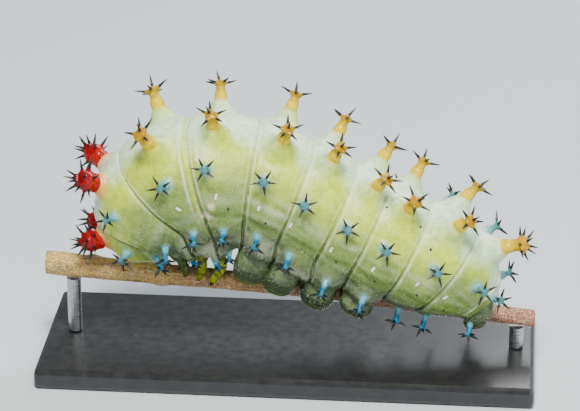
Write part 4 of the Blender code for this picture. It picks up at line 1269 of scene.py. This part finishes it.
points, tints = [], []
for row in range(HEAD_ROWS):
    rise = -90 + 180 * (row + 0.5) / HEAD_ROWS
    for column in range(HEAD_COLUMNS):
        _, aim = head_spot(360 * column / HEAD_COLUMNS - 180, rise)
        ahead, aside, up = aim.dot(forward), aim.dot(side_way), aim.dot(crown_way)
        seam = line_at(aside, 0, 0.035) * (up > 0.30 or ahead < 0)
        arms = line_at(abs(aside) - 0.42 * (0.30 - up), 0, 0.03) * (ahead > 0 and -0.42 < up < 0.30)
        mouth = line_at(up, -0.46, 0.05) * (ahead > 0.2 and abs(aside) < 0.5)
        lift = 0.05 * line_at(abs(aside), 0.5, 0.3) * max(0, up + 0.3) + 0.012 * noise.noise(aim * 6)
        lift -= 0.045 * seam + 0.035 * arms + 0.06 * mouth
        points.append(HEAD_CENTRE + aim * HEAD_RADIUS * (HEAD_FIT + lift))
        pale = max(0, 0.8 * noise.noise(aim * 3) + 0.3 * max(0, up))
        dark = min(1, 0.8 * seam + 0.8 * arms + mouth)
        tints.append(coated(HEAD_GREEN, (HEAD_PALE, pale), (HEAD_DARK, dark)))
points += [HEAD_CENTRE + crown_way * HEAD_RADIUS * HEAD_FIT * end for end in (-1, 1)]
tints += [HEAD_GREEN, HEAD_DARK]
head_finish = gloss("head_shell", 0.02 * MM, srgb(170, 180, 110), 0.1)
faces = tube_faces(HEAD_ROWS, HEAD_COLUMNS)
piece_from("head_capsule", points, faces, head_finish, "head", ("head",), tints)

EYE_RINGS = (
    (1.5, -0.06, (60, 70, 30)), (1.1, 0.06, (24, 22, 16)), (0.9, 0.16, (16, 15, 14)),
    (0.5, 0.24, (16, 15, 14)), (0.15, 0.26, (20, 18, 16)),
)
EYE_HALVES = (0.15 * MM, 0.15 * MM)
EYES = 6
EYE_SIDES = 16
JAW_RADII = np.array([0.48, 0.50, 0.50, 0.49, 0.47, 0.44, 0.40, 0.35, 0.29, 0.22, 0.14, 0.05]) * MM
JAW_SIDES = 20
JAW_BROWN_RINGS = 5
JAW_BROWN, JAW_BLACK = srgb(96, 62, 30), srgb(34, 24, 16)
PALP_RADII = np.array([
    0.26, 0.26, 0.25, 0.20, 0.22, 0.22, 0.19, 0.14, 0.17, 0.16, 0.12, 0.09, 0.06, 0.02,
]) * MM
PALP_SIDES = 16
PALP_OLIVE = srgb(150, 150, 70)
LIP_ROWS = 10
LIP_SIDES = 40
LIP_OLIVE = srgb(150, 160, 74)
mouth_parts, eye_parts = [], []
for side in (-1, 1):
    for spot in range(EYES):
        place, aim = head_spot(side * (50 + 7 * math.sin(spot * 1.1)), -46 + 13 * spot, -0.06 * MM)
        flat = aim.orthogonal().normalized()
        eye_parts.append(button(place, aim, flat, aim.cross(flat), EYE_RINGS, EYE_HALVES, EYE_SIDES))
    root, aim = head_spot(side * 16, -36, -0.25 * MM)
    aim = (aim + side_way * -0.3 * side - crown_way * 0.1).normalized()
    line = np.array([
        root + aim * reach * MM + side_way * -side * 0.18 * MM * reach**2
        for reach in np.linspace(0, 1.0, len(JAW_RADII))
    ])
    points, faces = sleeve(line, JAW_RADII, JAW_SIDES)
    brown = JAW_BROWN_RINGS * JAW_SIDES
    black = len(points) - 2 - brown
    mouth_parts.append((points, faces, [JAW_BROWN] * brown + [JAW_BLACK] * black + [JAW_BROWN, JAW_BLACK]))
    root, aim = head_spot(side * 26, -62, -0.15 * MM)
    aim = (aim + forward * 0.5).normalized()
    line = np.array([root + aim * reach * MM for reach in np.linspace(0, 0.9, len(PALP_RADII))])
    points, faces = sleeve(line, PALP_RADII, PALP_SIDES)
    mouth_parts.append((points, faces, [PALP_OLIVE] * len(points)))
points = []
for row in range(LIP_ROWS):
    for side in range(LIP_SIDES):
        turn = 2 * math.pi * side / LIP_SIDES
        across = (24 - 0.5 * row) * math.cos(turn)
        notch = 3.0 * math.exp(-((across / 5) ** 2)) * row / (LIP_ROWS - 1)
        thick = (0.10 + 0.12 * math.sin(math.pi * (row + 0.5) / LIP_ROWS)) * MM
        thick *= 1 if math.sin(turn) > 0 else -0.6
        away = abs(math.sin(turn)) ** 0.5 * thick + 0.05 * MM
        points.append(head_spot(across, -8 - 3.2 * row + notch, away)[0])
points += [head_spot(0, -8)[0], head_spot(0, -36)[0]]
mouth_parts.append((points, tube_faces(LIP_ROWS, LIP_SIDES), [LIP_OLIVE] * len(points)))
joined("mouth_parts", mouth_parts, head_finish, "head", ("head",))
joined("eye_spots", eye_parts, head_finish, "head", ("head",))

FEELER_STAGES = (
    (0.0, 0.36), (0.35, 0.34), (0.42, 0.25), (0.85, 0.26), (0.92, 0.16), (1.25, 0.15), (1.3, 0.05),
)
FEELER_RINGS = 30
FEELER_SIDES = 20
FEELER_OLIVE, FEELER_BAND = srgb(156, 166, 84), srgb(90, 80, 44)
for name, side in (("antenna_left", -1), ("antenna_right", 1)):
    aim = (forward * 0.75 + side_way * side * 0.62 + crown_way * 0.1).normalized()
    root = HEAD_CENTRE + aim * (HEAD_RADIUS - 0.1 * MM)
    centres = curve_through([root + aim * reach * MM for reach, _ in FEELER_STAGES], FEELER_RINGS)
    radii = curve_through([(radius, 0) for _, radius in FEELER_STAGES], FEELER_RINGS)[:, 0]
    tints = []
    for ring in range(FEELER_RINGS):
        tints += [FEELER_OLIVE if ring % 12 < 9 else FEELER_BAND] * FEELER_SIDES
    piece_from(
        "feeler_" + name, *sleeve(centres, np.maximum(radii, 0.02) * MM, FEELER_SIDES), head_finish, "head",
        (name,), tints + [FEELER_OLIVE] * 2,
    )


# The fine down.
# Short pale hairs, thin as dust, scattered over the skin and thicker on the prolegs and the shaded bark.
# They are solid tapered slivers, each given its own small patch on the flattened skin for its colour.
BODY_HAIRS = 3400
FOOT_HAIRS = 150
TWIG_HAIRS = 2600
HAIR_PATCH = 0.003
HAIR_SPREAD = ((0, 0), (1, 0), (0.5, 1), (0.2, 0.3), (0.8, 0.3), (0.5, 0.7), (0.5, 0.5))
draw = random.Random(31)


def stray(amount):
    """A random tilt of up to this amount each way."""
    return Vector((draw.uniform(-1, 1), draw.uniform(-1, 1), draw.uniform(-1, 1))) * amount


def make_hairs(name, stems, slot, nodes):
    """A joined piece of hairs from (root, aim, length, half thickness, patch place) entries."""
    points, faces, patches = [], [], []
    for root, aim, length, thick, patch in stems:
        side_a, side_b = side_ways(aim)
        start = len(points)
        droop = Vector((0, 0, -0.12)) * length
        for share, width in ((-0.15, 1.0), (0.5, 0.7)):
            for side in range(3):
                turn = 2 * math.pi * side / 3
                points.append(
                    root + aim * length * share + droop * max(0, share)
                    + (side_a * math.cos(turn) + side_b * math.sin(turn)) * thick * width
                )
        points.append(root + aim * length + droop * 1.6)
        faces.append((start + 2, start + 1, start))
        for side in range(3):
            after = (side + 1) % 3
            faces.append((start + side, start + after, start + 3 + after, start + 3 + side))
            faces.append((start + 3 + side, start + 3 + after, start + 6))
        patches += [patch] * len(HAIR_SPREAD)
    piece = piece_from(name, points, faces, down, slot, nodes)
    bake = piece.data.uv_layers.new(name="OFBake")
    for loop in piece.data.loops:
        corner, step = patches[loop.vertex_index], HAIR_SPREAD[loop.vertex_index % len(HAIR_SPREAD)]
        bake.data[loop.index].uv = [start + way * HAIR_PATCH for start, way in zip(corner, step)]


down, tree, shader = new_finish("pale_down", roughness=0.5)
pale = ramp(tree, cloud(tree, 0.004, 2), (0.3, srgb(226, 230, 200)), (0.7, srgb(246, 246, 232)))
base_colour(tree, shader, pale)
stems = []
for _ in range(BODY_HAIRS):
    row = draw.randrange(4, len(rows) - 6)
    column = draw.randrange(SKIN_COLUMNS)
    outward = Vector(skin_outward[row, column])
    if outward.length < 0.5:
        continue
    aim = (outward + stray(0.45)).normalized()
    patch = (0.95 * row / len(rows), 0.95 * column / SKIN_COLUMNS)
    length, thick = draw.uniform(0.22, 0.55) * MM, draw.uniform(0.010, 0.018) * MM
    stems.append((Vector(skin[row, column]), aim, length, thick, patch))
make_hairs("body_down", stems, "skin", NAMES)
stems = []
for index, places in enumerate(feet):
    for _ in range(FOOT_HAIRS):
        row = draw.randrange(20, LOBE_RINGS - 3)
        column = draw.randrange(LOBE_SIDES)
        centre = Vector(places[row].mean(axis=0))
        root = Vector(places[row, column])
        outward = (root - centre).normalized()
        if outward.y * centre.y < 0:
            continue
        aim = (outward + stray(0.4)).normalized()
        patch = (0.95 * row / LOBE_RINGS, (index + 0.9 * column / LOBE_SIDES) / len(feet) * 0.98)
        length, thick = draw.uniform(0.25, 0.6) * MM, draw.uniform(0.012, 0.02) * MM
        stems.append((root, aim, length, thick, patch))
make_hairs("foot_down", stems, "proleg", ["proleg_%d_left" % number for number in PROLEG_FOOT])
stems = []
for _ in range(TWIG_HAIRS):
    x = (TWIG_END_X - 0.6 * MM) * (2 * draw.random() ** 1.25 - 1)
    turn = draw.uniform(0, 2 * math.pi)
    outward = Vector((0, math.cos(turn), math.sin(turn)))
    aim = (outward + stray(0.6)).normalized()
    patch = (0.95 * (x + TWIG_END_X) / (2 * TWIG_END_X), 0.95 * turn / (2 * math.pi))
    length, thick = draw.uniform(0.25, 0.7) * MM, draw.uniform(0.010, 0.02) * MM
    root = twig_centre(x) + outward * (twig_radius(x) - 0.03 * MM)
    stems.append((root, aim, length, thick, patch))
make_hairs("twig_down", stems, "bark", ("perch_twig",))
